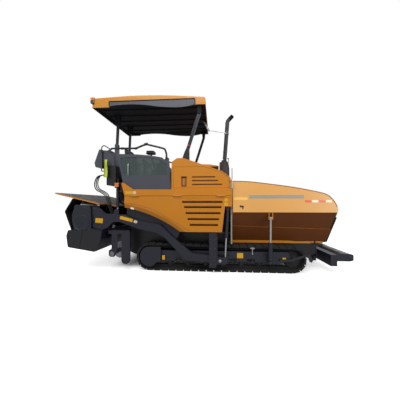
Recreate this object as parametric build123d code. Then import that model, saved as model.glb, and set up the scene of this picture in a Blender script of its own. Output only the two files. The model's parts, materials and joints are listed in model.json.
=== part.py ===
"""Tracked asphalt paver: hopper in front (+X), screed behind (-X), +Z up, millimetres.

The origin is on the ground, midway between the push rollers' front and the walkway's rear edge.
Plates named right lie on the -Y side, the side of the machine's own right hand.
"""
import os
from math import atan2, cos, degrees, hypot, pi, radians, sin, tan

from build123d import *

os.makedirs("parts", exist_ok=True)

# ---------------------------------------------------------------- overall sizes
body_half_width = 1250.0      # side doors and hopper wings, out from the centre plane
gap_moving = 6.0              # clear gap between pieces that move past each other
gap_pin = 1.0                 # radial clearance of a pin in its eye
gap_seat = 0.3                # between plates that are bolted together but kept as two solids
plate = 12.0                  # common sheet of guards and panels

# ---------------------------------------------------------------- tracks
track_gauge_half = 950.0      # centre plane to the middle of a track
shoe_width = 305.0
shoe_count = 48
shoe_gap = 24.0
pad_height = 35.0             # rubber pad on each shoe
shoe_plate = 15.0
link_height = 70.0            # chain rails inside the shoes
rail_width = 30.0
rail_spread = 40.0            # from the track's middle to the middle of a rail
sprocket_x = -1108.0
sprocket_outer = 310.0        # radius over the pads
idler_x = 2062.0
idler_outer = 285.0
track_outer_y = track_gauge_half + shoe_width / 2
rail_inner_depth = pad_height + shoe_plate + link_height

# ---------------------------------------------------------------- main frame
frame_half = 740.0            # outer face of the main side plates
frame_wall = 30.0
frame_rear = -1700.0
frame_front = 2700.0
lashing_hole = (2765.0, frame_half - 50)     # X, Y of the holes in the front lashing ears
lashing_hole_r = 25.0
tunnel_floor = 400.0
tunnel_floor_plate = 20.0
tunnel_roof = 790.0
bulkhead_x = 730.0            # middle of the wall behind the hopper
bulkhead_plate = 30.0
wall_face = bulkhead_x - bulkhead_plate / 2
deck_z = 1815.0               # operator floor and lower edge of the hood
strut_low = 1700.0            # underside of the struts that carry the side panels
platform_rear = -1900.0
platform_half = body_half_width - 120
screen_y = platform_half + 5         # inner face of the screens beside the operator
screen_thick = 24.0

# ---------------------------------------------------------------- hopper wings
wing_hinge_y = frame_half + 20
wing_hinge_z = 625.0
wing_hinge_r = 25.0
wing_pin_r = 12.0
wing_lug = (2640.0, 2670.0)          # X of the frame's lug in the wing's hinge tube
wing_knee_z = 1330.0
wing_plate = 16.0
wing_rear = bulkhead_x + bulkhead_plate / 2 + 15.0
wing_lean = 14.8              # degrees that the raised upper panel leans inward
wing_tube_front = 2835.0
wing_toe = 2905.0             # X of the floor panel's front corner at the hinge
wing_front = 2905.0           # X of the front corner at the knee
wing_doubler = 6.0
wing_ram_x = 1555.0
wing_ram_foot = (body_half_width - 70, 250.0)      # Y, Z of the ram's lower pin
wing_ram_eye = (body_half_width - 22, 1208.0)      # Y, Z of the ram's upper pin
ram_barrel_r = 48.0
ram_rod_r = 22.0
wing_ram_pin = 12.0
wing_ear_in = 30.0            # lug plates, either side of the ram's middle
wing_ear_out = 46.0
wing_ram_drift = 11.0         # the rod's eye leaves its pin by this much in mid-swing

# ---------------------------------------------------------------- tow arms, levelling and lifting rams
tow_pin_x = 481.0
tow_pin_z = 280.0
tow_pin_r = 30.0
tow_eye_r = 62.0
arm_thick = 70.0
arm_inner = body_half_width - arm_thick - 50
arm_outer = arm_inner + arm_thick
arm_mid = (arm_inner + arm_outer) / 2
guide_rear = 245.0
guide_front = 405.0
guide_low = 132.0
guide_high = 846.0
level_top = (652.0, 1380.0)
level_eye = (592.0, 288.0)
level_barrel_r = 40.0
level_pin = 16.0
lift_x = -1870.0
lift_top_z = 1900.0
lift_eye_z = 1340.0
lift_y = arm_inner - 42
lift_barrel_r = 35.0
lift_rod_r = 18.0

# ---------------------------------------------------------------- screed
screed_raise = 8.6            # degrees that the parked screed is raised about the tow pins
screed_half = body_half_width - 5
screed_sole = 14.0            # sole height when lowered
walkway_half = screed_half - 55
walkway_rear = (-3493.0, 1154.0)     # X, Z of the walkway's underside when lowered
walkway_front = (-2161.0, 1050.0)
walkway_notch = -2420.0              # ahead of this the walkway narrows between the tow arms
walkway_thick = 30.0

# ---------------------------------------------------------------- augers
toolbox_rear = -2200.0
toolbox_front = -1975.0
toolbox_half = 980.0
toolbox_top = 2422.0
hose_rows = (-960.0, -925.0, -890.0)
hose_r = 12.0
hose_foot_x = -2040.0
hose_foot_z = 945.0
auger_x = -1985.0
auger_z = 365.0
auger_r = 200.0
auger_shaft_r = 50.0
auger_pitch = 300.0
auger_inner = 150.0
auger_outer = arm_inner - 24
hanger_outer = auger_outer + 18.0    # outer face of the bearing plates at the augers' ends
flight_thick = 22.0
flight_steps = 12             # flat facets in one turn

# ---------------------------------------------------------------- push rollers
beam_rear = 2846.0
beam_front = 2977.0
beam_low = 177.0
beam_high = 418.0
beam_half = 1090.0
beam_pivot_x = 2808.0
roller_x = 3239.0
roller_z = 362.0
roller_r = 76.0
axle_r = 22.0

# ---------------------------------------------------------------- canopy and exhaust
post_y = 950.0
post_foot = (-263.0, 2760.0)         # X, Z of the front posts' fold pin
post_head = (12.0, 3621.0)
post_width = 75.0
post_thick = 50.0
rear_post_y = 400.0
rear_foot = (-2224.0, 3050.0)
rear_head = (-2198.0, 3680.0)
roof_rear = -2531.0
roof_front = 161.0
roof_half = body_half_width - 200
roof_low = 3782.0
roof_wall = 25.0
roof_crown = 4062.0
exhaust_y = 100.0
exhaust_foot = (649.0, 2795.0)       # X, Z of the pipe's fold pin
exhaust_head = (727.0, 3819.0)
exhaust_tip = (863.0, 3965.0)
exhaust_r = 55.0
link_roof = (210.0, 3547.0)          # X, Z of the link's pin under the canopy
link_pipe = (689.0, 3466.0)          # X, Z of the link's pin on the pipe's clamp
link_y = exhaust_y - exhaust_r - 20
link_r = 9.0
link_pin = 8.0
link_drift = 12.0                    # the link's eye leaves the clamp's pin by this much in mid-fold
link_height = 672.0                  # the clamp's distance up the pipe from its fold pin
muffler_x = 610.0
muffler_r = 112.0
muffler_top = 2718.0


# ---------------------------------------------------------------- helpers
def block(x0, x1, y0, y1, z0, z1):
    """A box between two corners."""
    return Pos((x0 + x1) / 2, (y0 + y1) / 2, (z0 + z1) / 2) * Box(abs(x1 - x0), abs(y1 - y0), abs(z1 - z0))


def outline(corners):
    """A face in the X-Z plane from rows of (x, z, corner radius)."""
    points = [Vector(x, 0, z) for x, z, r in corners]
    spans = []
    for i, (x, z, r) in enumerate(corners):
        here = points[i]
        back = points[i - 1] - here
        ahead = points[(i + 1) % len(points)] - here
        if r == 0:
            spans.append((here, None, here))
            continue
        half = radians(back.get_angle(ahead)) / 2
        inset = r / tan(half)
        middle = here + (back.normalized() + ahead.normalized()).normalized() * (r / sin(half) - r)
        spans.append((here + back.normalized() * inset, middle, here + ahead.normalized() * inset))
    edges = []
    for i, (start, middle, end) in enumerate(spans):
        if middle is not None:
            edges.append(ThreePointArc(start, middle, end))
        following = spans[(i + 1) % len(spans)][0]
        if (following - end).length > 1e-6:
            edges.append(Line(end, following))
    return make_face(edges)


def slab(corners, y0, y1):
    """An X-Z outline given thickness from y0 to y1."""
    face = outline(corners)
    return Pos(0, y0, 0) * extrude(face, amount=y1 - y0, dir=(0, 1, 0))


def rod_y(x, z, radius, y0, y1):
    return Pos(x, (y0 + y1) / 2, z) * Rot(90, 0, 0) * Cylinder(radius, abs(y1 - y0))


def rod_x(y, z, radius, x0, x1):
    return Pos((x0 + x1) / 2, y, z) * Rot(0, 90, 0) * Cylinder(radius, abs(x1 - x0))


def rod_z(x, y, radius, z0, z1):
    return Pos(x, y, (z0 + z1) / 2) * Cylinder(radius, abs(z1 - z0))


def rod_between(start, end, radius):
    start, end = Vector(*start), Vector(*end)
    along = end - start
    return Plane(origin=(start + end) * 0.5, z_dir=along) * Cylinder(radius, along.length)


def tube(points, bend, radius):
    """A round bar along straight runs joined by bends."""
    path = FilletPolyline(*points, radius=bend)
    section = Plane(origin=path @ 0, z_dir=path % 0) * Circle(radius)
    return sweep(section, path=path)


def both(shape):
    """The shape and its mirror image across the centre plane."""
    return Part() + [shape, mirror(shape, about=Plane.XZ)]


def right(shape):
    """A shape drawn on the +Y side, moved to the machine's right."""
    return mirror(shape, about=Plane.XZ)


def raise_screed(shape):
    """From the working position to the parked one, turned about the tow pins."""
    return Pos(tow_pin_x, 0, tow_pin_z) * Rot(0, screed_raise, 0) * Pos(-tow_pin_x, 0, -tow_pin_z) * shape


def along(start, end, distance):
    """The point at a distance from start towards end, both (u, v) pairs."""
    span = hypot(end[0] - start[0], end[1] - start[1])
    return (start[0] + (end[0] - start[0]) * distance / span, start[1] + (end[1] - start[1]) * distance / span)


nodes = {}


# ---------------------------------------------------------------- tracks
def loop_ends(depth):
    """Radii of the rear and front arcs at a depth below the pads' face, and the top run's normal."""
    tilt = 2 * atan2(idler_outer - sprocket_outer, idler_x - sprocket_x)
    return sprocket_outer - depth, idler_outer - depth, pi / 2 + tilt


def loop_face(depth):
    """The loop's outline at a depth below the pads' face."""
    rear_r, front_r, top = loop_ends(depth)
    rear = Vector(sprocket_x, 0, sprocket_outer)
    front = Vector(idler_x, 0, idler_outer)

    def at(centre, radius, angle):
        return centre + Vector(cos(angle), 0, sin(angle)) * radius

    bottom = -pi / 2
    edges = [
        Line(at(rear, rear_r, bottom), at(front, front_r, bottom)),
        ThreePointArc(at(front, front_r, bottom), at(front, front_r, (bottom + top) / 2), at(front, front_r, top)),
        Line(at(front, front_r, top), at(rear, rear_r, top)),
        ThreePointArc(at(rear, rear_r, top), at(rear, rear_r, (top + bottom) / 2 + pi), at(rear, rear_r, bottom)),
    ]
    return make_face(edges)


def loop_point(travel, depth):
    """A point of the loop after a travel along the pads' face, from under the sprocket forwards."""
    rear_r, front_r, top = loop_ends(0)
    run = idler_x - sprocket_x
    front_arc = front_r * (top + pi / 2)
    rear_arc = rear_r * (3 * pi / 2 - top)
    travel = travel % (2 * run + front_arc + rear_arc)
    if travel < run:
        return Vector(sprocket_x + travel, 0, depth)
    travel -= run
    if travel < front_arc:
        angle = -pi / 2 + travel / front_r
        return Vector(idler_x, 0, idler_outer) + Vector(cos(angle), 0, sin(angle)) * (front_r - depth)
    travel -= front_arc
    if travel < run:
        start = Vector(idler_x, 0, idler_outer) + Vector(cos(top), 0, sin(top)) * (front_r - depth)
        return start + Vector(-sin(top), 0, cos(top)) * travel
    angle = top + (travel - run) / rear_r
    return Vector(sprocket_x, 0, sprocket_outer) + Vector(cos(angle), 0, sin(angle)) * (rear_r - depth)


def ring(outer_depth, inner_depth, y0, y1):
    band = loop_face(outer_depth) - loop_face(inner_depth)
    return Pos(0, y0, 0) * extrude(band, amount=y1 - y0, dir=(0, 1, 0))


def make_track():
    rear_r, front_r, top = loop_ends(0)
    length = 2 * (idler_x - sprocket_x) + front_r * (top + pi / 2) + rear_r * (3 * pi / 2 - top)
    pitch = length / shoe_count
    corners = []
    for i in range(shoe_count):
        start = (i + 0.5) * pitch + shoe_gap / 2
        end = (i + 1.5) * pitch - shoe_gap / 2
        corners += [loop_point(start, pad_height), loop_point(start, 0)]
        corners += [loop_point(end, 0), loop_point(end, pad_height)]
    pads = make_face(Polyline(*corners, close=True)) - loop_face(pad_height + shoe_plate)
    y0 = track_gauge_half - shoe_width / 2
    track = Pos(0, y0, 0) * extrude(pads, amount=shoe_width, dir=(0, 1, 0))
    for side in (-1, 1):
        middle = track_gauge_half + side * rail_spread
        track += ring(pad_height + shoe_plate, rail_inner_depth, middle - rail_width / 2, middle + rail_width / 2)
    return track


track = make_track()
nodes["track_left"] = track
nodes["track_right"] = right(track)

# ---------------------------------------------------------------- track frames, rollers, sprockets
track_plate_inner = track_gauge_half - 110
track_plate_outer = track_gauge_half + 110
track_plate = 14.0
beam_bottom = 292.0
beam_top = 452.0
skirt_low = 218.0
roller_radius = 82.0
roller_xs = [-640 + 400 * i for i in range(6)]


def make_track_frame():
    body = slab([(-860, beam_bottom, 0), (1760, beam_bottom, 0), (1850, 330, 40), (1850, beam_top, 0),
                 (-860, beam_top, 0)], track_plate_inner, track_plate_outer)
    skirt = [(-880, skirt_low, 20), (1700, skirt_low, 30), (1990, 262, 30), (2010, 330, 30), (1960, beam_top, 40),
             (-880, beam_top, 20)]
    for y0 in (track_plate_inner - track_plate, track_plate_outer):
        wall = slab(skirt, y0, y0 + track_plate)
        for x in roller_xs[:-1]:
            hole = SlotOverall(190, 62)
            cutter = Pos(x + 200, y0 + track_plate / 2, 262) * Rot(90, 0, 0) * extrude(hole, amount=track_plate, both=True)
            wall -= cutter
        body += wall
    for x in (620.0, 1500.0):
        hole = extrude(SlotOverall(120, 56), amount=track_plate, both=True)
        body -= Pos(x, track_plate_outer + track_plate, 380) * Rot(90, 0, 0) * hole
    # beams that reach through the track's loop to the main frame
    for x in (-700.0, 1400.0):
        body += block(x - 110, x + 110, frame_half, track_plate_inner - track_plate, 300, 440)
    body += rod_y(idler_x, idler_outer, 40, track_plate_inner + 26, track_plate_outer - 26)
    for y0 in (track_plate_inner, track_plate_outer - 26):
        body += slab([(1840, 245, 0), (2090, 245, 25), (2130, 285, 25), (2090, 325, 25), (1840, 345, 0)], y0, y0 + 26)
    # scraper ahead of the idler
    guard_in = track_outer_y + gap_moving
    body += slab([(1780, 300, 0), (1990, 310, 0), (2330, 420, 0), (2420, 395, 20), (2470, 300, 20), (2440, 240, 20),
                  (2395, 270, 0), (2370, 340, 0), (2320, 365, 0), (2010, 260, 0), (1780, 250, 0)], guard_in, guard_in + 12)
    body += block(1780, 1900, track_plate_outer + track_plate, guard_in, 260, 300)
    return body




def wheel_pair(x, z, tread, flange, axle, half):
    """A double-flanged wheel on its axle across the chain rails."""
    rail_out = rail_spread + rail_width / 2 + 6
    wheel = rod_y(x, z, tread, track_gauge_half - rail_out, track_gauge_half + rail_out)
    wheel += rod_y(x, z, flange, track_gauge_half - 20, track_gauge_half + 20)
    wheel += rod_y(x, z, axle, track_gauge_half - half, track_gauge_half + half)
    return wheel


rollers = Part()
for x in roller_xs:
    rollers += wheel_pair(x, rail_inner_depth + roller_radius, roller_radius, roller_radius, 28, 110)

idler_tread = idler_outer - rail_inner_depth
idler = wheel_pair(idler_x, idler_outer, idler_tread, idler_tread + 24, idler_tread * 0.45, 78)
idler -= rod_y(idler_x, idler_outer, 40, 800, 1100)
nodes["track_wheels"] = both(rollers + idler)

tooth_count = 9
sprocket_root = sprocket_outer - rail_inner_depth - 4
tooth_tip = sprocket_root + 46
hub_r = 150.0


def make_sprocket():
    corners = []
    for i in range(tooth_count):
        for share, radius in ((0.0, sprocket_root), (0.28, sprocket_root), (0.44, tooth_tip), (0.84, tooth_tip)):
            angle = 2 * pi * (i + share) / tooth_count
            corners.append((sprocket_x + radius * cos(angle), sprocket_outer + radius * sin(angle), 0))
    return slab(corners, track_gauge_half - 19, track_gauge_half + 19)


cover_in = track_outer_y + gap_moving
cover_out = arm_inner - gap_moving
drive = rod_y(sprocket_x, sprocket_outer, hub_r, frame_half, cover_in)
drive += slab([(sprocket_x - 217, 93, 216), (sprocket_x - 217, 537, 216), (-846, 540, 12), (-846, 207, 12),
               (-930, 200, 60), (sprocket_x + 60, 93, 120)], cover_in, cover_out)
nodes["final_drives"] = both(drive + make_sprocket())

# ---------------------------------------------------------------- main frame
side_plate = slab([(frame_rear, 330, 40), (frame_rear + 180, 250, 40), (2450, 250, 60), (frame_front, 360, 30),
                   (frame_front, 590, 0), (wall_face, 590, 0), (wall_face, 960, 0), (-1350, 960, 80),
                   (-1350, deck_z - 40, 0), (frame_rear, deck_z - 40, 0)], frame_half - frame_wall, frame_half)
main_frame = both(side_plate)
inner = frame_half - frame_wall
floor_rear = frame_rear + 150
floor_front = frame_front - 130
main_frame += block(floor_rear, floor_front, -inner, inner, tunnel_floor, tunnel_floor + tunnel_floor_plate)
main_frame += block(frame_rear, wall_face, -inner, inner, tunnel_roof, tunnel_roof + 20)
main_frame += block(floor_rear, wall_face, -20, 20, tunnel_floor + tunnel_floor_plate, tunnel_roof)
for x in (-1200.0, -100.0, 900.0, 1900.0):
    main_frame += block(x - 40, x + 40, -inner, inner, 262, 292)
# cross wall behind the operator that carries the platform and the lifting rams
main_frame += block(frame_rear, frame_rear + 20, -inner, inner, tunnel_roof + 20, deck_z - 40)

platform = block(platform_rear, -590, -platform_half, platform_half, deck_z - 40, deck_z)
platform += block(platform_rear, platform_rear + 30, -screen_y, screen_y, deck_z, 2100)
platform -= both(block(lift_x - 60, lift_x + 60, lift_y - 44, screen_y + 1, deck_z - 60, 2101))
# boxes over the lifting rams, with the ears that hold the rams' upper pins
ear_in = (lift_y - 60, lift_y - 44)
ear_out = (arm_mid - 24, arm_mid - 10)
for y0, y1 in (ear_in, ear_out):
    platform += both(block(lift_x - 42, lift_x + 42, y0, y1, lift_top_z - 30, deck_z + 150))
platform += both(block(lift_x - 42, lift_x + 130, ear_in[0], ear_out[1], deck_z + 150, deck_z + 172))
platform += both(block(lift_x + 100, lift_x + 130, ear_in[0], ear_out[1], deck_z - 40, deck_z + 172))
platform += both(rod_y(lift_x, lift_top_z, 15, ear_in[0], ear_out[1]))
nodes["platform"] = platform

# ---------------------------------------------------------------- conveyors
chain_r = 55.0
slat_thick = 16.0
conveyor_z = tunnel_floor + tunnel_floor_plate + slat_thick - chain_r
conveyor_rear = frame_rear + 90
conveyor_front = frame_front - 70
slat_pitch = 290.0


def make_conveyor(y0, y1):
    rear, front = conveyor_rear, conveyor_front
    loop = None
    for inset in (0.0, 14.0):
        r = chain_r - inset
        face = make_face([
            Line((rear, 0, conveyor_z - r), (front, 0, conveyor_z - r)),
            ThreePointArc((front, 0, conveyor_z - r), (front + r, 0, conveyor_z), (front, 0, conveyor_z + r)),
            Line((front, 0, conveyor_z + r), (rear, 0, conveyor_z + r)),
            ThreePointArc((rear, 0, conveyor_z + r), (rear - r, 0, conveyor_z), (rear, 0, conveyor_z - r)),
        ])
        loop = face if loop is None else loop - face
    conveyor = Part()
    for start in (y0, y1 - 30):
        conveyor += Pos(0, start, 0) * extrude(loop, amount=30, dir=(0, 1, 0))
    count = int((front - rear) / slat_pitch)
    for i in range(count + 1):
        x = rear + (i + 0.5) * (front - rear) / (count + 1)
        conveyor += block(x - 20, x + 20, y0, y1, conveyor_z + chain_r - slat_thick, conveyor_z + chain_r)
        conveyor += block(x - 20, x + 20, y0, y1, conveyor_z - chain_r, conveyor_z - chain_r + slat_thick)
    for x in (rear, front):
        conveyor += rod_y(x, conveyor_z, chain_r - 14, y0, y1) + rod_y(x, conveyor_z, 20, y0, inner)
    return conveyor


nodes["conveyors"] = both(make_conveyor(40, inner - 20))

# ---------------------------------------------------------------- hopper
bulk_half = body_half_width - 56
bulkhead = block(bulkhead_x - bulkhead_plate / 2, bulkhead_x + bulkhead_plate / 2, -bulk_half, bulk_half, 640, 2040)
bulkhead -= block(bulkhead_x - 50, bulkhead_x + 50, -inner, inner, 500, tunnel_roof)
bulkhead += both(block(wall_face, bulkhead_x + bulkhead_plate / 2, inner, frame_half, 590, 640))
nodes["hopper_bulkhead"] = bulkhead

apron = block(frame_front, frame_front + 20, -frame_half, frame_half, 300, 600)
apron += block(frame_front - 40, frame_front + 20, -inner, inner, 190, 310)
for z in (194.0, 282.0):
    apron += block(frame_front, beam_pivot_x + 24, -44, 44, z, z + 14)
apron += rod_z(beam_pivot_x, 0, 16, 194, 296)
lashing_ear = block(frame_front + 20, frame_front + 100, frame_half - 90, frame_half - 10, 560, 585)
lashing_ear -= rod_z(lashing_hole[0], lashing_hole[1], lashing_hole_r, 550, 600)
wing_hinge = block(wing_lug[0], wing_lug[1], frame_half, wing_hinge_y, 560, wing_hinge_z)
wing_hinge += rod_x(wing_hinge_y, wing_hinge_z, wing_hinge_r, wing_lug[0], wing_lug[1])
wing_hinge += rod_x(wing_hinge_y, wing_hinge_z, wing_pin_r, bulkhead_x + bulkhead_plate / 2, wing_tube_front - 5)
nodes["main_frame"] = main_frame + apron + both(lashing_ear + wing_hinge)

knee = (body_half_width, wing_knee_z)
hinge = (wing_hinge_y, wing_hinge_z)
lower_slope = atan2(knee[1] - hinge[1], knee[0] - hinge[0])
lower_length = hypot(knee[1] - hinge[1], knee[0] - hinge[0])


def make_wing():
    """The left wing, raised: a sloping floor panel from its hinge to the knee, and a wall above."""
    floor_plane = Plane(origin=(0, hinge[0], hinge[1]), x_dir=(1, 0, 0),
                        z_dir=(0, -sin(lower_slope), cos(lower_slope)))
    floor_face = Polyline((wing_rear, 0), (wing_toe, 0), (wing_front, lower_length), (wing_rear, lower_length), close=True)
    wing = extrude(floor_plane * make_face(floor_face), amount=wing_plate)
    # wear plate under the floor, as far up as the crease
    crease_rear, crease_front = (wing_rear, 480), (wing_toe + 20, 402)
    doubler = Polyline((wing_rear, 40), (wing_toe - 10, 40), crease_front, crease_rear, close=True)
    wing += extrude(floor_plane * make_face(doubler), amount=-wing_doubler)
    lean = radians(wing_lean)
    wall_plane = Plane(origin=(0, knee[0], knee[1]), x_dir=(1, 0, 0), z_dir=(0, -cos(lean), -sin(lean)))
    # distance along the hopper, height up the wall, corner radius
    rows = [(wing_rear, 0, 0), (wing_front, 0, 0), (wing_front + 30, 60, 60), (wing_front + 2, 190, 200),
            (2775, 395, 260), (2600, 452, 300), (2173, 548, 900), (1760, 618, 900), (1128, 706, 900), (wing_rear, 720, 0)]
    wall_face_up = wall_plane * Rot(-90, 0, 0) * outline(rows)
    wing += extrude(wall_face_up, amount=wing_plate, dir=wall_plane.z_dir)
    wing += rod_x(wing_hinge_y, wing_hinge_z, wing_hinge_r, wing_rear, wing_tube_front)
    # tapered skirt outside the hinge tube
    skirt_y = wing_hinge_y + wing_hinge_r + 5
    skirt_low = wing_hinge_z - wing_hinge_r
    skirt = slab([(wing_rear, skirt_low, 0), (2560, skirt_low, 0), (2560, skirt_low + 24, 0), (wing_rear, 742, 0)],
                 skirt_y - 12, skirt_y)
    wing += skirt
    wing -= rod_x(wing_hinge_y, wing_hinge_z, wing_hinge_r + gap_moving, wing_lug[0] - gap_moving, wing_lug[1] + gap_moving)
    wing -= rod_x(wing_hinge_y, wing_hinge_z, wing_pin_r + gap_pin, wing_rear - 10, wing_tube_front + 15)
    # lug for the ram under the knee
    for x in (wing_ram_x - wing_ear_out, wing_ram_x + wing_ear_in):
        ear = Plane(origin=(x, 0, 0), x_dir=(0, 1, 0), z_dir=(1, 0, 0))
        eye_y, eye_z = wing_ram_eye
        shape = Polyline((eye_y - 26, eye_z - 34), (eye_y + 22, eye_z - 34), (knee[0] - 6, knee[1] + 2),
                         (eye_y - 64, eye_z + 6), close=True)
        wing += extrude(ear * make_face(shape), amount=wing_ear_out - wing_ear_in)
    wing += rod_x(eye_y, eye_z, wing_ram_pin, wing_ram_x - wing_ear_out, wing_ram_x + wing_ear_out)
    return wing


wing = make_wing()
nodes["wing_left"] = wing
nodes["wing_right"] = right(wing)

wing_ram_length = hypot(wing_ram_eye[0] - wing_ram_foot[0], wing_ram_eye[1] - wing_ram_foot[1])
wing_barrel_end = 430.0
foot3 = (wing_ram_x, wing_ram_foot[0], wing_ram_foot[1])
eye3 = (wing_ram_x, wing_ram_eye[0], wing_ram_eye[1])


def point_on(start, end, distance):
    """A point at a distance from start towards end in space."""
    step = Vector(*end) - Vector(*start)
    where = Vector(*start) + step.normalized() * distance
    return (where.X, where.Y, where.Z)


def make_ram(start, end, barrel_start, barrel_end, barrel_r, rod_r, rod_inside, travel, foot_pin, foot_half,
             head_r, head_half, head_hole, axis):
    """A ram between two pins: its barrel, bored for the rod's travel, and the rod that slides in it."""
    def across(where, radius, half):
        if axis == "x":
            return rod_x(where[1], where[2], radius, where[0] - half, where[0] + half)
        return rod_y(where[0], where[2], radius, where[1] - half, where[1] + half)

    span = (Vector(*end) - Vector(*start)).length
    barrel = rod_between(point_on(start, end, barrel_start), point_on(start, end, barrel_end), barrel_r)
    barrel += rod_between(start, point_on(start, end, barrel_start), foot_half - 2)
    barrel += across(start, foot_pin + 18, foot_half)
    bore_start = span - rod_inside
    barrel -= rod_between(point_on(start, end, bore_start - travel - 4), point_on(start, end, barrel_end + 10), rod_r + gap_pin)
    barrel -= across(start, foot_pin + gap_pin, foot_half + 10)
    rod = rod_between(point_on(start, end, bore_start), point_on(start, end, span - head_r + 6), rod_r)
    rod += across(end, head_r, head_half)
    rod -= across(end, head_hole, head_half + 10)
    return barrel, rod


wing_barrel, wing_rod = make_ram(foot3, eye3, 46, wing_barrel_end, ram_barrel_r, ram_rod_r, 560, 330, 18, 26,
                                 wing_ram_pin + wing_ram_drift + gap_pin + 8, 26,
                                 wing_ram_pin + wing_ram_drift + gap_pin, "x")
for name, shape in (("wing_ram_barrel", wing_barrel), ("wing_ram_rod", wing_rod)):
    nodes[name + "_left"] = shape
    nodes[name + "_right"] = right(shape)

# outriggers on the track frames that carry the wing rams' feet
outrigger = make_track_frame()
for x0 in (wing_ram_x - 46, wing_ram_x + 30):
    outrigger += block(x0, x0 + 16, track_plate_outer + track_plate, wing_ram_foot[0] + 25, 232, 282)
outrigger += rod_x(wing_ram_foot[0], wing_ram_foot[1], 18, wing_ram_x - 46, wing_ram_x + 46)
outrigger += block(wing_ram_x - 46, wing_ram_x + 46, track_plate_outer + track_plate, track_outer_y + 5, 232, 282)
nodes["track_frames"] = both(outrigger)

# ---------------------------------------------------------------- tow guides, carriages, levelling rams
guide_inner = (track_outer_y + gap_moving, arm_inner - gap_moving)
guide_outer = (arm_outer + gap_moving, body_half_width - 2)
guides = block(guide_rear, guide_front, *guide_inner, guide_low, guide_high)
outer_guide = block(guide_rear, guide_front, *guide_outer, guide_low, guide_high)
outer_guide += block(guide_front, guide_front + 22, guide_outer[0] + 14, guide_outer[0] + 26, guide_low + 60, guide_high)
bridge_low = guide_high + gap_seat
bridge = block(guide_rear, guide_front, frame_half, guide_outer[1], bridge_low, guide_high + 40)
bridge += block(guide_front, wall_face, frame_half, track_outer_y - 10, bridge_low, guide_high + 40)

cheek = [(guide_front + 5, 205, 10), (640, 205, 40), (640, 350, 40), (guide_front + 5, 350, 10)]
carriage = slab(cheek, guide_inner[0], guide_inner[1])
carriage += slab(cheek, guide_outer[0], guide_outer[0] + 34)
carriage += block(624, 640, guide_inner[0], guide_outer[0] + 34, 225, 262)
carriage -= block(guide_front, guide_front + 24, guide_outer[0] + 13, guide_outer[0] + 27, 190, 360)
carriage += rod_y(tow_pin_x, tow_pin_z, tow_pin_r, guide_inner[0], guide_outer[1])
carriage += rod_y(level_eye[0], level_eye[1], level_pin, guide_inner[0], guide_outer[1] - 6)
nodes["tow_carriages"] = both(carriage)

level_start = (level_top[0], arm_mid, level_top[1])
level_end = (level_eye[0], arm_mid, level_eye[1])
level_barrel, level_rod = make_ram(level_start, level_end, 34, 620, level_barrel_r, 20, 760, 155, level_pin, 24, 28, 22,
                                   level_pin + gap_pin, "y")
nodes["level_ram_barrels"] = both(level_barrel)
nodes["level_ram_rods"] = both(level_rod)

ear_rear, ear_front = level_top[0] - 34, level_top[0] + 34
level_ears = block(ear_rear, ear_front, arm_inner - 18, arm_inner - 7, level_top[1] - 30, level_top[1] + 42)
level_ears += block(ear_rear, ear_front, arm_outer + 7, arm_outer + 18, level_top[1] - 30, level_top[1] + 42)
level_ears += block(ear_rear, wall_face, arm_inner - 40, arm_outer + 18, level_top[1] + 42, level_top[1] + 66)
level_ears += rod_y(level_top[0], level_top[1], level_pin, arm_inner - 18, arm_outer + 18)
# plate inside the tow arm that closes the arch under the side door
liner = slab([(-1640, strut_low - gap_seat, 0), (-1640, 1180, 0), (-1345, 1040, 60), (-885, 960, 60), (-650, 770, 60), (-500, 700, 40),
              (-395, 898, 0), (-395, strut_low - gap_seat, 0)], platform_half - 30, platform_half - 18)
nodes["tow_guides"] = Part() + [both(piece) for piece in (guides, outer_guide, bridge + level_ears, liner)]

# ---------------------------------------------------------------- tow arms and lifting rams
arm_corners = [
    (tow_pin_x - 40, tow_pin_z + tow_eye_r + 26, 0), (-120, 424, 120), (-560, 778, 60), (-850, 1050, 110),
    (-1345, 1130, 90), (-1655, 1258, 60), (-2119, 1288, 60), (-2290, 1440, 20), (-2425, 1452, 0),
    (-2401, 972, 0), (-2180, 916, 20), (-2040, 985, 60), (-1923, 1106, 40), (-1760, 1100, 60), (-1322, 947, 120),
    (-919, 866, 120), (-740, 760, 60), (-318, 318, 60), (-225, 262, 60), (tow_pin_x - 40, tow_pin_z - tow_eye_r, 0),
]
arm = slab(arm_corners, arm_inner, arm_outer)
arm += rod_y(tow_pin_x, tow_pin_z, tow_eye_r, arm_inner, arm_outer)
arm -= rod_y(tow_pin_x, tow_pin_z, tow_pin_r + gap_pin, arm_inner - 5, arm_outer + 5)
arm += slab([(lift_x - 60, 1200, 0), (lift_x - 52, lift_eye_z + 50, 50), (lift_x + 52, lift_eye_z + 50, 50),
             (lift_x + 60, 1200, 0)], arm_inner, arm_inner + 24)
nodes["tow_arms"] = both(arm)

lift_start = (lift_x, lift_y, lift_top_z)
lift_end = (lift_x, lift_y, lift_eye_z)
lift_barrel, lift_rod = make_ram(lift_start, lift_end, 32, 480, lift_barrel_r, lift_rod_r, 470, 0, 15, 26, 32, 22, 14, "y")
lift_rod += rod_y(lift_x, lift_eye_z, 14, lift_y - 26, arm_inner - gap_moving)
nodes["lift_ram_barrels"] = both(lift_barrel)
nodes["lift_ram_rods"] = both(lift_rod)

# ---------------------------------------------------------------- screed, drawn in its working position
screed_body = slab([(-2945, screed_sole, 30), (-2300, screed_sole, 20), (-2208, 300, 20), (-2214, 505, 10),
                    (-2470, 520, 0), (-2560, 470, 0), (-2880, 420, 0), (-2985, 400, 20), (-3005, 260, 60)],
                   -screed_half, screed_half)
screed_body -= slab([(-2470, 240, 0), (-2230, 310, 0), (-2234, 470, 0), (-2470, 470, 0)], -screed_half + 60,
                    screed_half - 60)
nodes["screed_body"] = raise_screed(screed_body)

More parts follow.
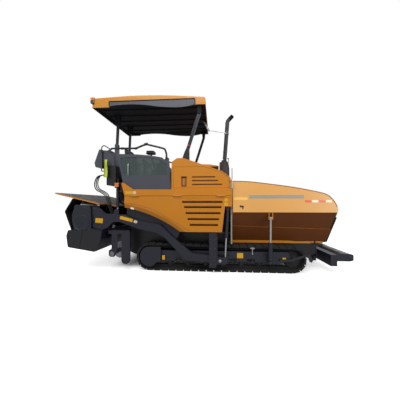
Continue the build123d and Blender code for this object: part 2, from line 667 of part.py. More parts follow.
housing = slab([(-2960, 990, 60), (-2575, 1005, 50), (-2478, 533, 30), (-2562, 460, 0), (-2880, 412, 0)],
               arm_inner + 60, screed_half)
housing -= screed_body
nodes["screed_housings"] = raise_screed(both(housing))

end_plate = slab([(-2940, 16, 40), (-2300, 16, 40), (-2204, 305, 20), (-2211, 500, 20), (-2470, 512, 0),
                  (-2562, 462, 20), (-2880, 412, 0), (-2996, 400, 30), (-3015, 264, 60)], screed_half, screed_half + 27)
end_plate += slab([(-2690, 20, 0), (-2670, 20, 0), (-2650, 440, 0), (-2670, 440, 0)], screed_half + 27, screed_half + 33)
nodes["screed_end_plates"] = raise_screed(both(end_plate))



def walkway_under(x):
    """Height of the walkway's underside at x."""
    share = (x - walkway_rear[0]) / (walkway_front[0] - walkway_rear[0])
    return walkway_rear[1] + share * (walkway_front[1] - walkway_rear[1])


def body_top(x):
    """Height of the screed body's sloping rear shoulder at x."""
    return 400 + (x + 2985) * 20 / 105


guard = slab([(-2941, body_top(-2941), 0), (-3160, 799, 60), (-3020, walkway_under(-3020), 0),
              (-3006, walkway_under(-3006), 0), (-3145, 799, 50), (-2926, body_top(-2926), 0)], -screed_half, screed_half)
holes = Part()
for i in range(9):
    y = -1000 + i * 250
    holes += Pos(-3050, y, 620) * Rot(0, 60, 0) * Cylinder(26, 120)
guard -= holes
nodes["screed_rear_guard"] = raise_screed(guard)

upper = block(-2870, -2600, -arm_inner, arm_inner, 470, 560)
upper += slab([(-2860, 560, 0), (-2820, 560, 0), (-2820, walkway_under(-2820), 0),
               (-2860, walkway_under(-2860), 0)], -arm_inner, arm_inner)
for y in (-1040, -520, 0, 520, 1040):
    upper += slab([(-2860, 560, 0), (-2600, 560, 0), (-2560, walkway_under(-2560), 0),
                   (-2860, walkway_under(-2860), 0)], y - 8, y + 8)
upper += block(-2820, -2440, -arm_outer, arm_outer, 1030, 1050)
arm_plate = block(-2660, -2330, arm_inner - 24, arm_inner, 1000, 1240)
nodes["screed_carrier"] = raise_screed(upper) + both(arm_plate)



def walkway_piece(x0, x1, half):
    low0, low1 = walkway_under(x0), walkway_under(x1)
    return slab([(x0, low0, 0), (x0, low0 + walkway_thick, 0), (x1, low1 + walkway_thick, 0), (x1, low1, 0)], -half, half)


walk = walkway_piece(walkway_rear[0], walkway_notch, walkway_half) + walkway_piece(walkway_notch, walkway_front[0], 850)
nodes["screed_walkway"] = raise_screed(walk)

# ---------------------------------------------------------------- augers
def make_auger():
    shaft = rod_y(auger_x, auger_z, auger_shaft_r, auger_inner - 40, hanger_outer - 4)
    turns = (auger_outer - auger_inner - 60) / auger_pitch
    whole = int(turns)
    sections = []
    for i in range(flight_steps + 1):
        angle = 2 * pi * i / flight_steps
        y = auger_inner + 30 + auger_pitch * i / flight_steps
        radial = Vector(cos(angle), 0, sin(angle))
        centre = Vector(auger_x, y, auger_z)
        near, far = centre + radial * (auger_shaft_r - 8), centre + radial * auger_r
        half = Vector(0, flight_thick / 2, 0)
        sections.append(Wire(Polyline(near - half, far - half, far + half, near + half, close=True).edges()))
    turn = Solid.make_loft(sections, ruled=True)
    auger = shaft
    for i in range(whole):
        auger += Pos(0, i * auger_pitch, 0) * turn
    return auger


auger = make_auger()
nodes["auger_left"] = auger
nodes["auger_right"] = right(auger)

gearbox = slab([(auger_x - 120, auger_z - 120, 60), (auger_x + 120, auger_z - 120, 60), (auger_x + 120, 880, 0),
                (auger_x - 120, 880, 60)], -auger_inner + gap_moving, auger_inner - gap_moving)
gearbox -= both(rod_y(auger_x, auger_z, auger_shaft_r + gap_pin, auger_inner - 42, auger_inner + 10))
gearbox += block(auger_x - 90, frame_rear, -hanger_outer, hanger_outer, 820, 900)
hanger = slab([(auger_x - 72, auger_z - 72, 60), (auger_x + 72, auger_z - 72, 60), (auger_x + 128, 480, 40),
               (auger_x + 128, 900, 0), (auger_x - 8, 900, 0), (auger_x - 8, 480, 20), (auger_x - 72, 440, 20)],
              hanger_outer - 12, hanger_outer)
# side plate between the augers and the tracks
hanger += slab([(-1762, 135, 90), (-1566, 135, 90), (-1566, 900, 30), (-1762, 900, 0)], hanger_outer - 52, hanger_outer - 4)
hanger -= rod_y(auger_x, auger_z, auger_shaft_r + gap_pin, 1000, 1200)
gearbox += both(hanger)
for y in hose_rows:
    gearbox += rod_z(hose_foot_x, y, hose_r + 6, 890, hose_foot_z)
nodes["auger_frame"] = gearbox

# ---------------------------------------------------------------- push rollers
beam = block(beam_rear, beam_front, -beam_half, beam_half, beam_low, beam_high)
beam -= block(beam_rear + 16, beam_front - 16, -beam_half + 16, beam_half - 16, beam_low + 16, beam_high - 16)
for y in (-beam_half + 120, beam_half - 120):
    beam -= rod_z((beam_rear + beam_front) / 2, y, 20, beam_low - 1, beam_low + 17)
tongue = block(beam_pivot_x, beam_rear, -32, 32, 214, 276) + rod_z(beam_pivot_x, 0, 32, 214, 276)
beam += tongue - rod_z(beam_pivot_x, 0, 16 + gap_pin, 200, 290)
bracket = [(beam_front, 282, 0), (roller_x, 282, 0), (3313, 300, 30), (3313, 424, 30), (roller_x, 442, 0),
           (beam_front, 442, 0)]
for y in (-beam_half + 8, -22, 22, beam_half - 8):
    beam += slab(bracket, y - 8, y + 8)
beam -= rod_y(roller_x, roller_z, axle_r + gap_pin, -beam_half - 10, beam_half + 10)
nodes["push_beam"] = beam

roller_inner = 22 + 8 + gap_moving
roller_outer = beam_half - 16 - gap_moving
push_roller = rod_y(roller_x, roller_z, roller_r, roller_inner, roller_outer)
push_roller += rod_y(roller_x, roller_z, axle_r, roller_inner - 20, roller_outer + 20)
nodes["push_roller_left"] = push_roller
nodes["push_roller_right"] = right(push_roller)

# ---------------------------------------------------------------- side panels and doors
door_thick = 38.0
door_inner = body_half_width - door_thick
door_top = 1680.0
door_seam = 8.0
door_recess = 5.0
door_hinges = (-1400.0, -450.0, 500.0)
door_pin_y = body_half_width + 12
door_pin_z = door_top + door_seam / 2
door_pin_r = 4.0
knuckle_r = 8.5
strip = slab([(-1707, 1952, 20), (-1696, 1990, 10), (-1650, 1966, 30), (-1443, deck_z + 15, 60),
              (738, deck_z + 5, 0), (738, door_top + door_seam, 0), (-1640, door_top + door_seam, 0)], door_inner, body_half_width)
strip += block(-1443, wall_face, platform_half, door_inner, deck_z - 40, deck_z + 5)
strip += block(-590, wall_face, frame_half - 40, platform_half, deck_z - 40, deck_z - 5)
for x in (-1380.0, -600.0, 650.0):
    strip += block(x - 20, x + 20, frame_half, door_inner, strut_low, deck_z - 40)
for x in door_hinges:
    for x0, x1 in ((x - 96, x - 62), (x + 62, x + 96)):
        strip += rod_x(door_pin_y, door_pin_z, knuckle_r, x0, x1)
        strip += block(x0, x1, body_half_width - 6, door_pin_y, door_pin_z, door_pin_z + 22)
    strip += rod_x(door_pin_y, door_pin_z, door_pin_r, x - 96, x + 96)
nodes["side_panels"] = both(strip)

arch_rear = (-1640.0, 1425.0)
arch_mid = (-1000.0, 1240.0)
arch_front = (-395.0, 898.0)


def make_side_door():
    """A louvred door whose lower edge follows the tow arm in one arch."""
    def corner(x, z):
        return (x, 0, z)
    edges = [
        Line(corner(-1640, door_top), corner(738, door_top)),
        Line(corner(738, door_top), corner(737, 1453)),
        Line(corner(737, 1453), corner(588, 1453)),
        Line(corner(588, 1453), corner(523, 898)),
        Line(corner(523, 898), corner(*arch_front)),
        ThreePointArc(corner(*arch_front), corner(*arch_mid), corner(*arch_rear)),
        Line(corner(*arch_rear), corner(-1640, door_top)),
    ]
    door = Pos(0, door_inner, 0) * extrude(make_face(edges), amount=door_thick, dir=(0, 1, 0))
    lip = door.faces().sort_by(Axis.Y)[-1].edges().filter_by(GeomType.CIRCLE)
    door = chamfer(lip, length=82, length2=door_thick - 6, reference=door.faces().sort_by(Axis.Y)[-1])
    # the louvred part lies lower than the rest, ahead of a slanting crease
    door -= slab([(-455, 1640, 20), (-179, 890, 0), (760, 890, 0), (760, 1640, 0)], body_half_width - door_recess,
                 body_half_width + 1)
    # rows: height of a slot, its rear end, its front end
    for z, rear, front in ((1554, -344, 535), (1441, -300, 513), (1311, -267, 492), (1180, -223, 459), (1055, -179, 438)):
        door -= block(rear, front, door_inner - 1, body_half_width + 1, z - 24, z + 24)
        blade = Plane(origin=(rear, body_half_width - door_recess - 3, z + 22), x_dir=(0, 1, 0), z_dir=(1, 0, 0))
        shape = Polyline((0, 0), (-26, -38), (-26, -44), (0, -6), close=True)
        door += extrude(blade * make_face(shape), amount=front - rear)
    # hinge knuckles along the top outer edge
    for x in door_hinges:
        door += rod_x(door_pin_y, door_pin_z, knuckle_r, x - 60, x + 60)
        door += block(x - 58, x + 58, body_half_width - 6, door_pin_y, door_top - 16, door_pin_z)
        door -= rod_x(door_pin_y, door_pin_z, door_pin_r + gap_pin, x - 61, x + 61)
    return door


side_door = make_side_door()
nodes["side_door_left"] = side_door
nodes["side_door_right"] = right(side_door)

# ---------------------------------------------------------------- engine hood, its doors, engine
hood_half = body_half_width - 50
hood_wall = 25.0
hood_pin_x = 694.0
hood_pin_y = hood_half + 9.0
hood_profile = [(-588, deck_z + 5, 0), (-588, 2440, 40), (-465, 2524, 60), (-331, 2523, 60), (-20, 2420, 60),
                (240, 2315, 60), (527, 2226, 40), (712, 2085, 0), (712, deck_z + 8, 0)]
hood = slab(hood_profile, -hood_half, hood_half)
hollow = [(-563, deck_z - 10, 0), (-563, 2425, 30), (-458, 2499, 40), (-335, 2498, 40), (-28, 2394, 40),
          (232, 2290, 40), (517, 2202, 30), (687, 2072, 0), (687, deck_z - 10, 0)]
hood -= slab(hollow, -hood_half + hood_wall, hood_half - hood_wall)
hood_door_corners = [(-545, 1862, 0), (-545, 2330, 40), (120, 2330, 60), (520, 2196, 60), (688, 2070, 0), (688, 1862, 0)]
opening_corners = [(-549, 1858, 0), (-549, 2334, 40), (121, 2334, 60), (523, 2200, 60), (692, 2074, 0), (692, 1858, 0)]
hood -= slab(opening_corners, -hood_half - 1, -hood_half + hood_wall + 1)
hood -= slab(opening_corners, hood_half - hood_wall - 1, hood_half + 1)
hood += slab([(-20, 2380, 0), (-20, 2426, 20), (266, 2415, 20), (462, 2380, 10), (462, 2314, 0), (250, 2300, 0)], -980, 980)

hood_door = slab(hood_door_corners, hood_half - hood_wall, hood_half)
for z, rear, front in ((2100, -131, 375), (2020, -131, 440), (1935, -131, 526)):
    hood_door -= block(rear, front, hood_half - hood_wall - 1, hood_half + 1, z - 15, z + 15)
hood_door -= block(-373, -248, hood_half - 16, hood_half + 1, 1879, 2116)
hood_door += block(-326, -296, hood_half - 18, hood_half - 2, 1925, 2070)
for z in (1890.0, 2040.0):
    hood_door += rod_z(hood_pin_x, hood_pin_y, knuckle_r, z - 18, z + 18)
    hood_door += block(hood_pin_x - 22, hood_pin_x - 6, hood_half - 6, hood_pin_y, z - 18, z + 18)
    hood_door -= rod_z(hood_pin_x, hood_pin_y, door_pin_r + gap_pin, z - 20, z + 20)
    hood_hinge = Part()
    for z0, z1 in ((z - 40, z - 19), (z + 19, z + 40)):
        hood_hinge += rod_z(hood_pin_x, hood_pin_y, knuckle_r, z0, z1)
        hood_hinge += block(hood_pin_x, hood_pin_x + 22, hood_half - 6, hood_pin_y, z0, z1)
    hood += both(hood_hinge + rod_z(hood_pin_x, hood_pin_y, door_pin_r, z - 40, z + 40))
nodes["hood_door_left"] = hood_door
nodes["hood_door_right"] = right(hood_door)

nodes["engine_block"] = block(-480, 560, -430, 430, tunnel_roof + 20, 1980)

# ---------------------------------------------------------------- operator station
screen = slab([(-1718, 2000, 10), (-1848, 2606, 20), (-1792, 2649, 30), (-1371, 2630, 0), (-1092, 2603, 0),
               (-862, 2565, 60), (-720, 2490, 40), (-645, 2426, 30), (-633, 2156, 20), (-596, deck_z + 5, 0),
               (-1452, deck_z + 5, 20)], screen_y, screen_y + screen_thick)
window_corners = [(-1700, 2160, 30), (-1790, 2560, 30), (-1380, 2570, 0), (-1100, 2548, 0), (-880, 2512, 30),
                  (-700, 2410, 30), (-690, 2160, 30)]
screen -= slab(window_corners, screen_y - 1, screen_y + screen_thick + 1)
nodes["side_screens"] = both(screen)
nodes["side_windows"] = both(slab(window_corners, screen_y + 6, screen_y + 14))


toolbox = slab([(toolbox_rear, 1950, 20), (toolbox_rear, toolbox_top, 0), (toolbox_front, toolbox_top, 10),
                (toolbox_front + 3, 1928, 20)], -toolbox_half, toolbox_half)
toolbox += block(toolbox_front - 5, platform_rear, -700, 700, 1990, 2080)
nodes["rear_toolbox"] = toolbox
rail_r = 22.0
rail_y = 1000.0
rail = tube([(-749, rail_y, deck_z), (-749, rail_y, 2666), (-785, rail_y, 2784), (-903, rail_y, 2821),
             (-1236, rail_y, 2905), (-1476, rail_y, 2812), (-2060, rail_y, 2818), (-2180, rail_y - 60, 2776)], 60, rail_r)

cabinet = slab([(-2283, toolbox_top, 0), (-2286, 2790, 30), (-2050, 2760, 20), (-2008, toolbox_top, 0)],
               -toolbox_half, toolbox_half)
for side in (-1, 1):
    y = side * rear_post_y
    cabinet += block(-2264, -2184, y - 56, y - 32, 2700, rear_foot[1] + 30)
    cabinet += block(-2264, -2184, y + 32, y + 56, 2700, rear_foot[1] + 30)
    cabinet += rod_y(rear_foot[0], rear_foot[1], 14, y - 56, y + 56)
    cabinet += block(-2264, -2184, y - 56, y + 56, 2700, 2940)
pod = slab([(-2459, 2380, 20), (-2483, 2480, 20), (-2370, 2800, 30), (-2300, 2800, 10), (-2300, 2360, 10)], 790, 1010)
pod += block(-2300, -2284, 840, 960, 2480, 2700)
# bent tube outside each pod, from the toolbox's side up and over to the cabinet's
frame_y = toolbox_half + 50
rear_frame = tube([(-2150, toolbox_half + gap_seat, 2279), (-2150, frame_y, 2279), (-2295, frame_y, 2279),
                   (-2311, frame_y, 2765), (-2286, frame_y, 2862), (-2236, frame_y, 2885), (-2100, frame_y, 2808),
                   (-2060, frame_y, 2740), (-2060, toolbox_half - 10, 2720)], 20, 12)
nodes["rear_cabinet"] = cabinet + both(pod + rear_frame) - both(rail)

console = slab([(-1100, deck_z, 0), (-1180, 2350, 60), (-1150, 2560, 40), (-960, 2600, 40), (-820, 2380, 30),
                (-760, deck_z, 0)], -420, 420)
nodes["console"] = console


def seat_back(z):
    """X of the seat shell's front face at height z."""
    return -1690 - (z - 2200) * 90 / 660


seat_bases = Part()
seat_pads = Part()
for y in (-620.0, 620.0):
    seat_bases += block(-1640, -1260, y - 170, y + 170, deck_z, 2180)
    seat_bases += slab([(-1240, 2180, 0), (-1240, 2200, 0), (-1690, 2200, 0), (-1780, 2860, 20), (-1830, 2860, 20),
                        (-1770, 2180, 0)], y - 220, y + 220)
    seat_pads += block(-1680, -1230, y - 230, y + 230, 2200, 2310)
    seat_pads += slab([(-1600, 2320, 30), (-1688, 2800, 40), (seat_back(2800) - 10, 2800, 0), (seat_back(2320) - 10, 2320, 0)],
                      y - 215, y + 215)
seat_pads -= seat_bases
nodes["seat_bases"] = seat_bases
nodes["seat_cushions"] = seat_pads

nodes["handrails"] = both(rail)



def hose(points, radius):
    """A hose along the points, each corner rounded as far as its shorter run allows."""
    corners = [Vector(*point) for point in points]
    bends = []
    for before, here, after in zip(corners, corners[1:], corners[2:]):
        turn = radians((here - before).get_angle(after - here))
        shorter = min((here - before).length, (after - here).length)
        bends.append(0.45 * shorter / tan(turn / 2))
    print("hose bends", [round(bend, 1) for bend in bends])
    path = FilletPolyline(*corners, radius=bends)
    print("hose length", round(path.length, 1))
    return sweep(Plane(origin=path @ 0, z_dir=path % 0) * Circle(radius), path=path)


hoses = Part()
for y in hose_rows:
    hoses += hose([(toolbox_rear, y, 2200), (-2400, y, 2200), (-2484, y, 2100), (-2512, y, 1950), (-2462, y, 1836),
                   (-2352, y, 1788), (-2246, y, 1724), (-2190, y, 1590), (-2150, y, 1420), (-2080, y, 1260),
                   (hose_foot_x, y, 1110), (hose_foot_x, y, hose_foot_z)], hose_r)
nodes["rear_hoses"] = hoses

lamps = both(block(-1900, -1812, ear_out[1], ear_out[1] + 30, 1893, 1985))
nodes["marker_lamps"] = lamps

# ---------------------------------------------------------------- canopy
lean = atan2(post_head[0] - post_foot[0], post_head[1] - post_foot[1])


def bar(foot, head, width, y0, y1, over):
    """A flat bar between two pins in the X-Z plane, rounded past each pin."""
    span = hypot(head[0] - foot[0], head[1] - foot[1])
    turn = degrees(atan2(head[0] - foot[0], head[1] - foot[1]))
    flat = block(-width / 2, width / 2, y0, y1, 0, span)
    flat += rod_y(0, 0, width / 2 + over, y0, y1) + rod_y(0, span, width / 2 + over, y0, y1)
    return Pos(foot[0], 0, foot[1]) * Rot(0, turn, 0) * flat


front_post = bar(post_foot, post_head, post_width, post_y - post_thick / 2, post_y + post_thick / 2, 0)
for i in range(12):
    x, z = along(post_foot, post_head, 120 + i * 55)
    front_post -= rod_y(x, z, 9, post_y + 10, post_y + post_thick)
front_post -= rod_y(*post_foot, 14 + gap_pin, post_y - 60, post_y + 60)
front_post -= rod_y(*post_head, 14 + gap_pin, post_y - 60, post_y + 60)
nodes["front_posts"] = both(front_post)

post_base = Part()
for y0 in (post_y - post_thick / 2 - 18, post_y + post_thick / 2 + 6):
    post_base += slab([(-400, 2516, 0), (post_foot[0] - 38, post_foot[1] + 20, 38), (post_foot[0] + 40, post_foot[1] + 38, 36),
                       (post_foot[0] + 44, 2500, 0), (-400, 2506, 0)], y0, y0 + 12)
post_base += rod_y(*post_foot, 14, post_y - post_thick / 2 - 18, post_y + post_thick / 2 + 18)
nodes["engine_hood"] = hood + both(post_base)

rear_post = bar(rear_foot, rear_head, 60, rear_post_y - 25, rear_post_y + 25, 0)
rear_post -= rod_y(*rear_foot, 14 + gap_pin, rear_post_y - 60, rear_post_y + 60)
rear_post += rod_y(*rear_head, 12, rear_post_y - 44, rear_post_y + 44)
nodes["rear_posts"] = both(rear_post)


def roof_solid(inset, low):
    """The canopy's arched block, drawn in from its faces by an inset."""
    rear, front = roof_rear + inset, roof_front - inset
    profile = [(rear, low, 0), (rear + 12, roof_crown - 54 - inset, 50), (-1180, roof_crown - inset, 12000),
               (front - 4, roof_crown - 107 - inset, 50), (front, low, 0)]
    return slab(profile, inset - roof_half, roof_half - inset)


band_rear = -2114.0
band_front = -79.0
band_low = 3735.0
roof = roof_solid(0, roof_low)
roof = fillet(roof.faces().filter_by(Axis.Y).edges().filter_by(GeomType.CIRCLE), 20)
roof -= roof_solid(roof_wall, roof_low - 10)
roof -= both(block(band_rear, band_front, roof_half - roof_wall - 1, roof_half + 1, roof_low - 1, 3920))
nodes["canopy_roof"] = roof

band_edges = [
    Line((band_rear, 0, 3811), (band_rear, 0, 3920)),
    Line((band_rear, 0, 3920), (band_front, 0, 3920)),
    Line((band_front, 0, 3920), (band_front, 0, 3789)),
    ThreePointArc((band_front, 0, 3789), (-330, 0, 3742), (-600, 0, 3738)),
    ThreePointArc((-600, 0, 3738), (-900, 0, 3762), (-1150, 0, 3800)),
    ThreePointArc((-1150, 0, 3800), (-1600, 0, 3838), (band_rear, 0, 3811)),
]
band_inner = roof_half - 24
band = Pos(0, band_inner, 0) * extrude(make_face(band_edges), amount=20, dir=(0, 1, 0))
nodes["canopy_side_bands"] = both(band)

lining = block(roof_rear, roof_front, -band_inner, band_inner, 3850, 3868) & roof_solid(roof_wall, roof_low - 10)
for y in (-720, -360, 0, 360, 720):
    lining += block(roof_rear + 90, roof_front - 90, y - 35, y + 35, 3826, 3850)
for side in (-1, 1):
    for offset in (-44, 32):
        y = side * post_y + offset
        lining += slab([(post_head[0] - 60, 3850, 0), (post_head[0] - 36, post_head[1] - 20, 30),
                        (post_head[0] + 36, post_head[1] - 20, 30), (post_head[0] + 60, 3850, 0)], y, y + 12)
    lining += rod_y(*post_head, 14, side * post_y - 44, side * post_y + 44)
    for offset in (-56, 32):
        y = side * rear_post_y + offset
        ear = slab([(rear_head[0] - 80, 3850, 0), (rear_head[0] - 50, 3620, 30), (rear_head[0] + 50, 3620, 30),
                    (rear_head[0] + 80, 3850, 0)], y, y + 24)
        lining += ear - Pos(rear_head[0], y + 12, rear_head[1] + 4) * Rot(90, 0, 0) * Cylinder(36, 60)
# drop arm that holds the exhaust's link
for y in (link_y - 26, link_y + 14):
    lining += slab([(roof_front - 150, 3850, 0), (link_roof[0] - 20, link_roof[1] - 8, 14),
                    (link_roof[0] + 14, link_roof[1] - 22, 14), (link_roof[0] + 22, link_roof[1] + 12, 14),
                    (roof_front - 50, roof_low - 14, 0), (roof_front - 90, 3850, 0)], y, y + 12)
lining += rod_y(*link_roof, link_pin, link_y - 26, link_y + 26)
nodes["canopy_lining"] = lining

# ---------------------------------------------------------------- exhaust
muffler = rod_z(muffler_x, exhaust_y, muffler_r, 2000, 2660) + rod_z(muffler_x + 20, exhaust_y, 74, 2660, muffler_top)
muffler -= slab(hood_profile, exhaust_y - 2 * muffler_r, exhaust_y + 2 * muffler_r)
muffler -= block(700, 800, -200, 300, 1900, 2230)
foot_x, foot_z = exhaust_foot
for y in (exhaust_y - exhaust_r - 20, exhaust_y + exhaust_r + 6):
    muffler += slab([(foot_x - 50, muffler_top - 40, 0), (foot_x - 26, foot_z + 24, 20), (foot_x + 26, foot_z + 24, 20),
                     (foot_x + 50, muffler_top - 40, 0)], y, y + 14)
muffler += rod_y(*exhaust_foot, 12, exhaust_y - exhaust_r - 20, exhaust_y + exhaust_r + 20)
nodes["muffler"] = muffler

pipe_low = along(exhaust_foot, exhaust_head, -45)
pipe = tube([(pipe_low[0], exhaust_y, pipe_low[1]), (exhaust_head[0], exhaust_y, exhaust_head[1]),
             (exhaust_tip[0], exhaust_y, exhaust_tip[1])], 110, exhaust_r)
pipe -= tube([(exhaust_head[0] - 6, exhaust_y, exhaust_head[1] - 60), (exhaust_head[0], exhaust_y, exhaust_head[1]),
              (exhaust_tip[0] + 20, exhaust_y, exhaust_tip[1] + 22)], 40, exhaust_r - 8)
pipe -= rod_y(*exhaust_foot, 12 + gap_pin, exhaust_y - 100, exhaust_y + 100)
band_from = along(exhaust_foot, exhaust_head, link_height - 22)
band_to = along(exhaust_foot, exhaust_head, link_height + 22)
pipe += rod_between((band_from[0], exhaust_y, band_from[1]), (band_to[0], exhaust_y, band_to[1]), exhaust_r + 6)
pipe += rod_y(*link_pipe, link_pin, link_y - 14, exhaust_y - exhaust_r + 4)
nodes["exhaust_pipe"] = pipe

link_hole = link_pin + link_drift + gap_pin
link = rod_between((link_roof[0], link_y, link_roof[1]), (link_pipe[0], link_y, link_pipe[1]), link_r)
link += rod_y(*link_roof, 22, link_y - 8, link_y + 8) + rod_y(*link_pipe, link_hole + 7, link_y - 8, link_y + 8)
link -= rod_y(*link_roof, link_pin + gap_pin, link_y - 12, link_y + 12)
link -= rod_y(*link_pipe, link_hole, link_y - 12, link_y + 12)
nodes["exhaust_link"] = link

for name, shape in nodes.items():
    export_step(shape, f"parts/{name}.step")
    print(f"{name}: {len(shape.solids())} solids, {shape.volume / 1e9:.4f} m3")
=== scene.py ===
import json
import math

import bmesh
import bpy
import numpy as np
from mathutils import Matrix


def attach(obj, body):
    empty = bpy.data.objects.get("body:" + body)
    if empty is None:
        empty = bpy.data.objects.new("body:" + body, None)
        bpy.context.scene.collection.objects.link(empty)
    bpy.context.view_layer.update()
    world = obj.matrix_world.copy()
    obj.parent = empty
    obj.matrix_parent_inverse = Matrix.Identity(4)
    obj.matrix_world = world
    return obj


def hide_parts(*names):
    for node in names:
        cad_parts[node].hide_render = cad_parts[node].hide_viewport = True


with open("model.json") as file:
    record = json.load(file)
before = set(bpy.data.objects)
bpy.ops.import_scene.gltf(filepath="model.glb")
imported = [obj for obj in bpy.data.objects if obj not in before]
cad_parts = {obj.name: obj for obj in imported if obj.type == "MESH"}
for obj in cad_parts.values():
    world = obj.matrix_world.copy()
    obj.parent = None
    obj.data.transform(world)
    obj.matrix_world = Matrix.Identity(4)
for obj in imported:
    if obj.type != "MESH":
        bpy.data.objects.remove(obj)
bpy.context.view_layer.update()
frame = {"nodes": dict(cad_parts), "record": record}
nodes = frame["nodes"]
scene = bpy.context.scene
hands = ((1, "left"), (-1, "right"))    # the left is +Y
print("the paver's frame is in")

view = dict(place=(0.372, -5.75, 1.53), pitch=90.8, turn=4.1, lens=18.72)
eye = bpy.data.cameras.new("eye")
eye.sensor_width = 36.0
eye.lens = view["lens"]
camera = bpy.data.objects.new("eye", eye)
camera.location = view["place"]
camera.rotation_euler = (math.radians(view["pitch"]), 0.0, math.radians(view["turn"]))
bpy.context.collection.objects.link(camera)
scene.camera = camera
scene.view_settings.view_transform = "Standard"


# a socket that takes part in sums and products, each adding one maths node
class Flow:
    def __init__(self, skin, socket):
        self.skin = skin
        self.socket = socket

    def join(self, operation, first, second):
        return self.skin.add("ShaderNodeMath", {"operation": operation}, {0: first, 1: second})

    def __add__(self, other):
        return self.join("ADD", self, other)

    def __radd__(self, other):
        return self.join("ADD", other, self)

    def __sub__(self, other):
        return self.join("SUBTRACT", self, other)

    def __rsub__(self, other):
        return self.join("SUBTRACT", other, self)

    def __mul__(self, other):
        return self.join("MULTIPLY", self, other)

    def __rmul__(self, other):
        return self.join("MULTIPLY", other, self)


# a material being made: its node tree, and the fields that the finishes read
class Skin:
    def __init__(self, name, roughness=0.5, metallic=0.0, coat=0.0):
        self.material = bpy.data.materials.new(name)
        self.material.use_nodes = True
        self.tree = self.material.node_tree
        self.shader = self.tree.nodes["Principled BSDF"]
        self.shader.inputs["Roughness"].default_value = roughness
        self.shader.inputs["Metallic"].default_value = metallic
        self.shader.inputs["Coat Weight"].default_value = coat
        self.place = self.add("ShaderNodeTexCoord", out="Object")

    # one node of the given type, with its settings, its input values or links, and the output wanted
    def add(self, kind, settings=None, values=None, out=0):
        node = self.tree.nodes.new(kind)
        for key, value in (settings or {}).items():
            setattr(node, key, value)
        for key, value in (values or {}).items():
            if isinstance(value, Flow):
                self.tree.links.new(value.socket, node.inputs[key])
            else:
                node.inputs[key].default_value = value
        return Flow(self, node.outputs[out])

    # a value into one of the shader's sockets
    def feed(self, socketName, value):
        self.tree.links.new(value.socket, self.shader.inputs[socketName])

    # the object place, stretched along its axes
    def stretched(self, stretch):
        return self.add("ShaderNodeVectorMath", {"operation": "MULTIPLY"}, {0: self.place, 1: stretch})

    # cloudy noise from 0 to 1, with so many waves a metre
    def cloud(self, scale, detail=3.0, stretch=(1, 1, 1)):
        return self.add("ShaderNodeTexNoise", None,
                        {"Vector": self.stretched(stretch), "Scale": scale, "Detail": detail})

    # clouds cut into patches, 0 below low and 1 above high
    def patches(self, scale, detail, low, high):
        return self.step(self.cloud(scale, detail), low, high)

    # distance to the nearest of scattered points, or of points in rows where randomness is 0
    def cells(self, scale, stretch=(1, 1, 1), randomness=1.0):
        return self.add("ShaderNodeTexVoronoi", {"feature": "F1"},
                        {"Vector": self.stretched(stretch), "Scale": scale, "Randomness": randomness})

    # 0 below low and 1 above high, smooth between
    def step(self, value, low, high):
        return self.add("ShaderNodeMapRange", {"interpolation_type": "SMOOTHSTEP"},
                        {"Value": value, "From Min": low, "From Max": high})

    # one axis of the object place, in metres
    def axis(self, name):
        return self.add("ShaderNodeSeparateXYZ", None, {0: self.place}, out=name)

    # how much the surface looks up, from -1 to 1
    def upness(self):
        normal = self.add("ShaderNodeNewGeometry", out="Normal")
        return self.add("ShaderNodeSeparateXYZ", None, {0: normal}, out="Z")

    # 1 on edges within the radius: how far the rounded normal turns from the flat one
    def edges(self, radius):
        normal = self.add("ShaderNodeNewGeometry", out="Normal")
        rounded = self.add("ShaderNodeBevel", {"samples": 4}, {"Radius": radius})
        along = self.add("ShaderNodeVectorMath", {"operation": "DOT_PRODUCT"}, {0: normal, 1: rounded},
                         out="Value")
        return self.step(along, 0.995, 0.86)

    # 1 in corners and gaps narrower than the distance
    def corners(self, distance):
        openness = self.add("ShaderNodeAmbientOcclusion", {"samples": 6, "only_local": False},
                            {"Distance": distance}, out="AO")
        return 1.0 - openness

    # the first tone where the share is 0, the second where it is 1
    def blend(self, share, first, second):
        return self.add("ShaderNodeMix", {"data_type": "RGBA"}, {0: share, 6: first, 7: second}, out=2)

    # bumps of the given depth in metres, from a height of 0 to 1
    def relief(self, height, depth, strength):
        bump = self.add("ShaderNodeBump", None, {"Height": height, "Distance": depth, "Strength": strength})
        self.feed("Normal", bump)

    # the finished material, with its colour, roughness and bumps
    def finished(self, colour, roughness, height, depth, strength):
        self.feed("Base Color", colour)
        self.feed("Roughness", roughness)
        self.relief(height, depth, strength)
        return self.material


# a tone from its sRGB shares, which the shaders need as linear ones
def rgb(*shares):
    return tuple(((c + 0.055) / 1.055) ** 2.4 if c > 0.04045 else c / 12.92 for c in shares) + (1.0,)


# a tone with that share of its light
def dimmed(tone, share):
    return tuple(c * share for c in tone[:3]) + (1.0,)


dustTone = rgb(0.44, 0.40, 0.34)
tarTone = rgb(0.05, 0.05, 0.055)
steelTone = rgb(0.45, 0.45, 0.46)
primerTone = rgb(0.27, 0.24, 0.22)


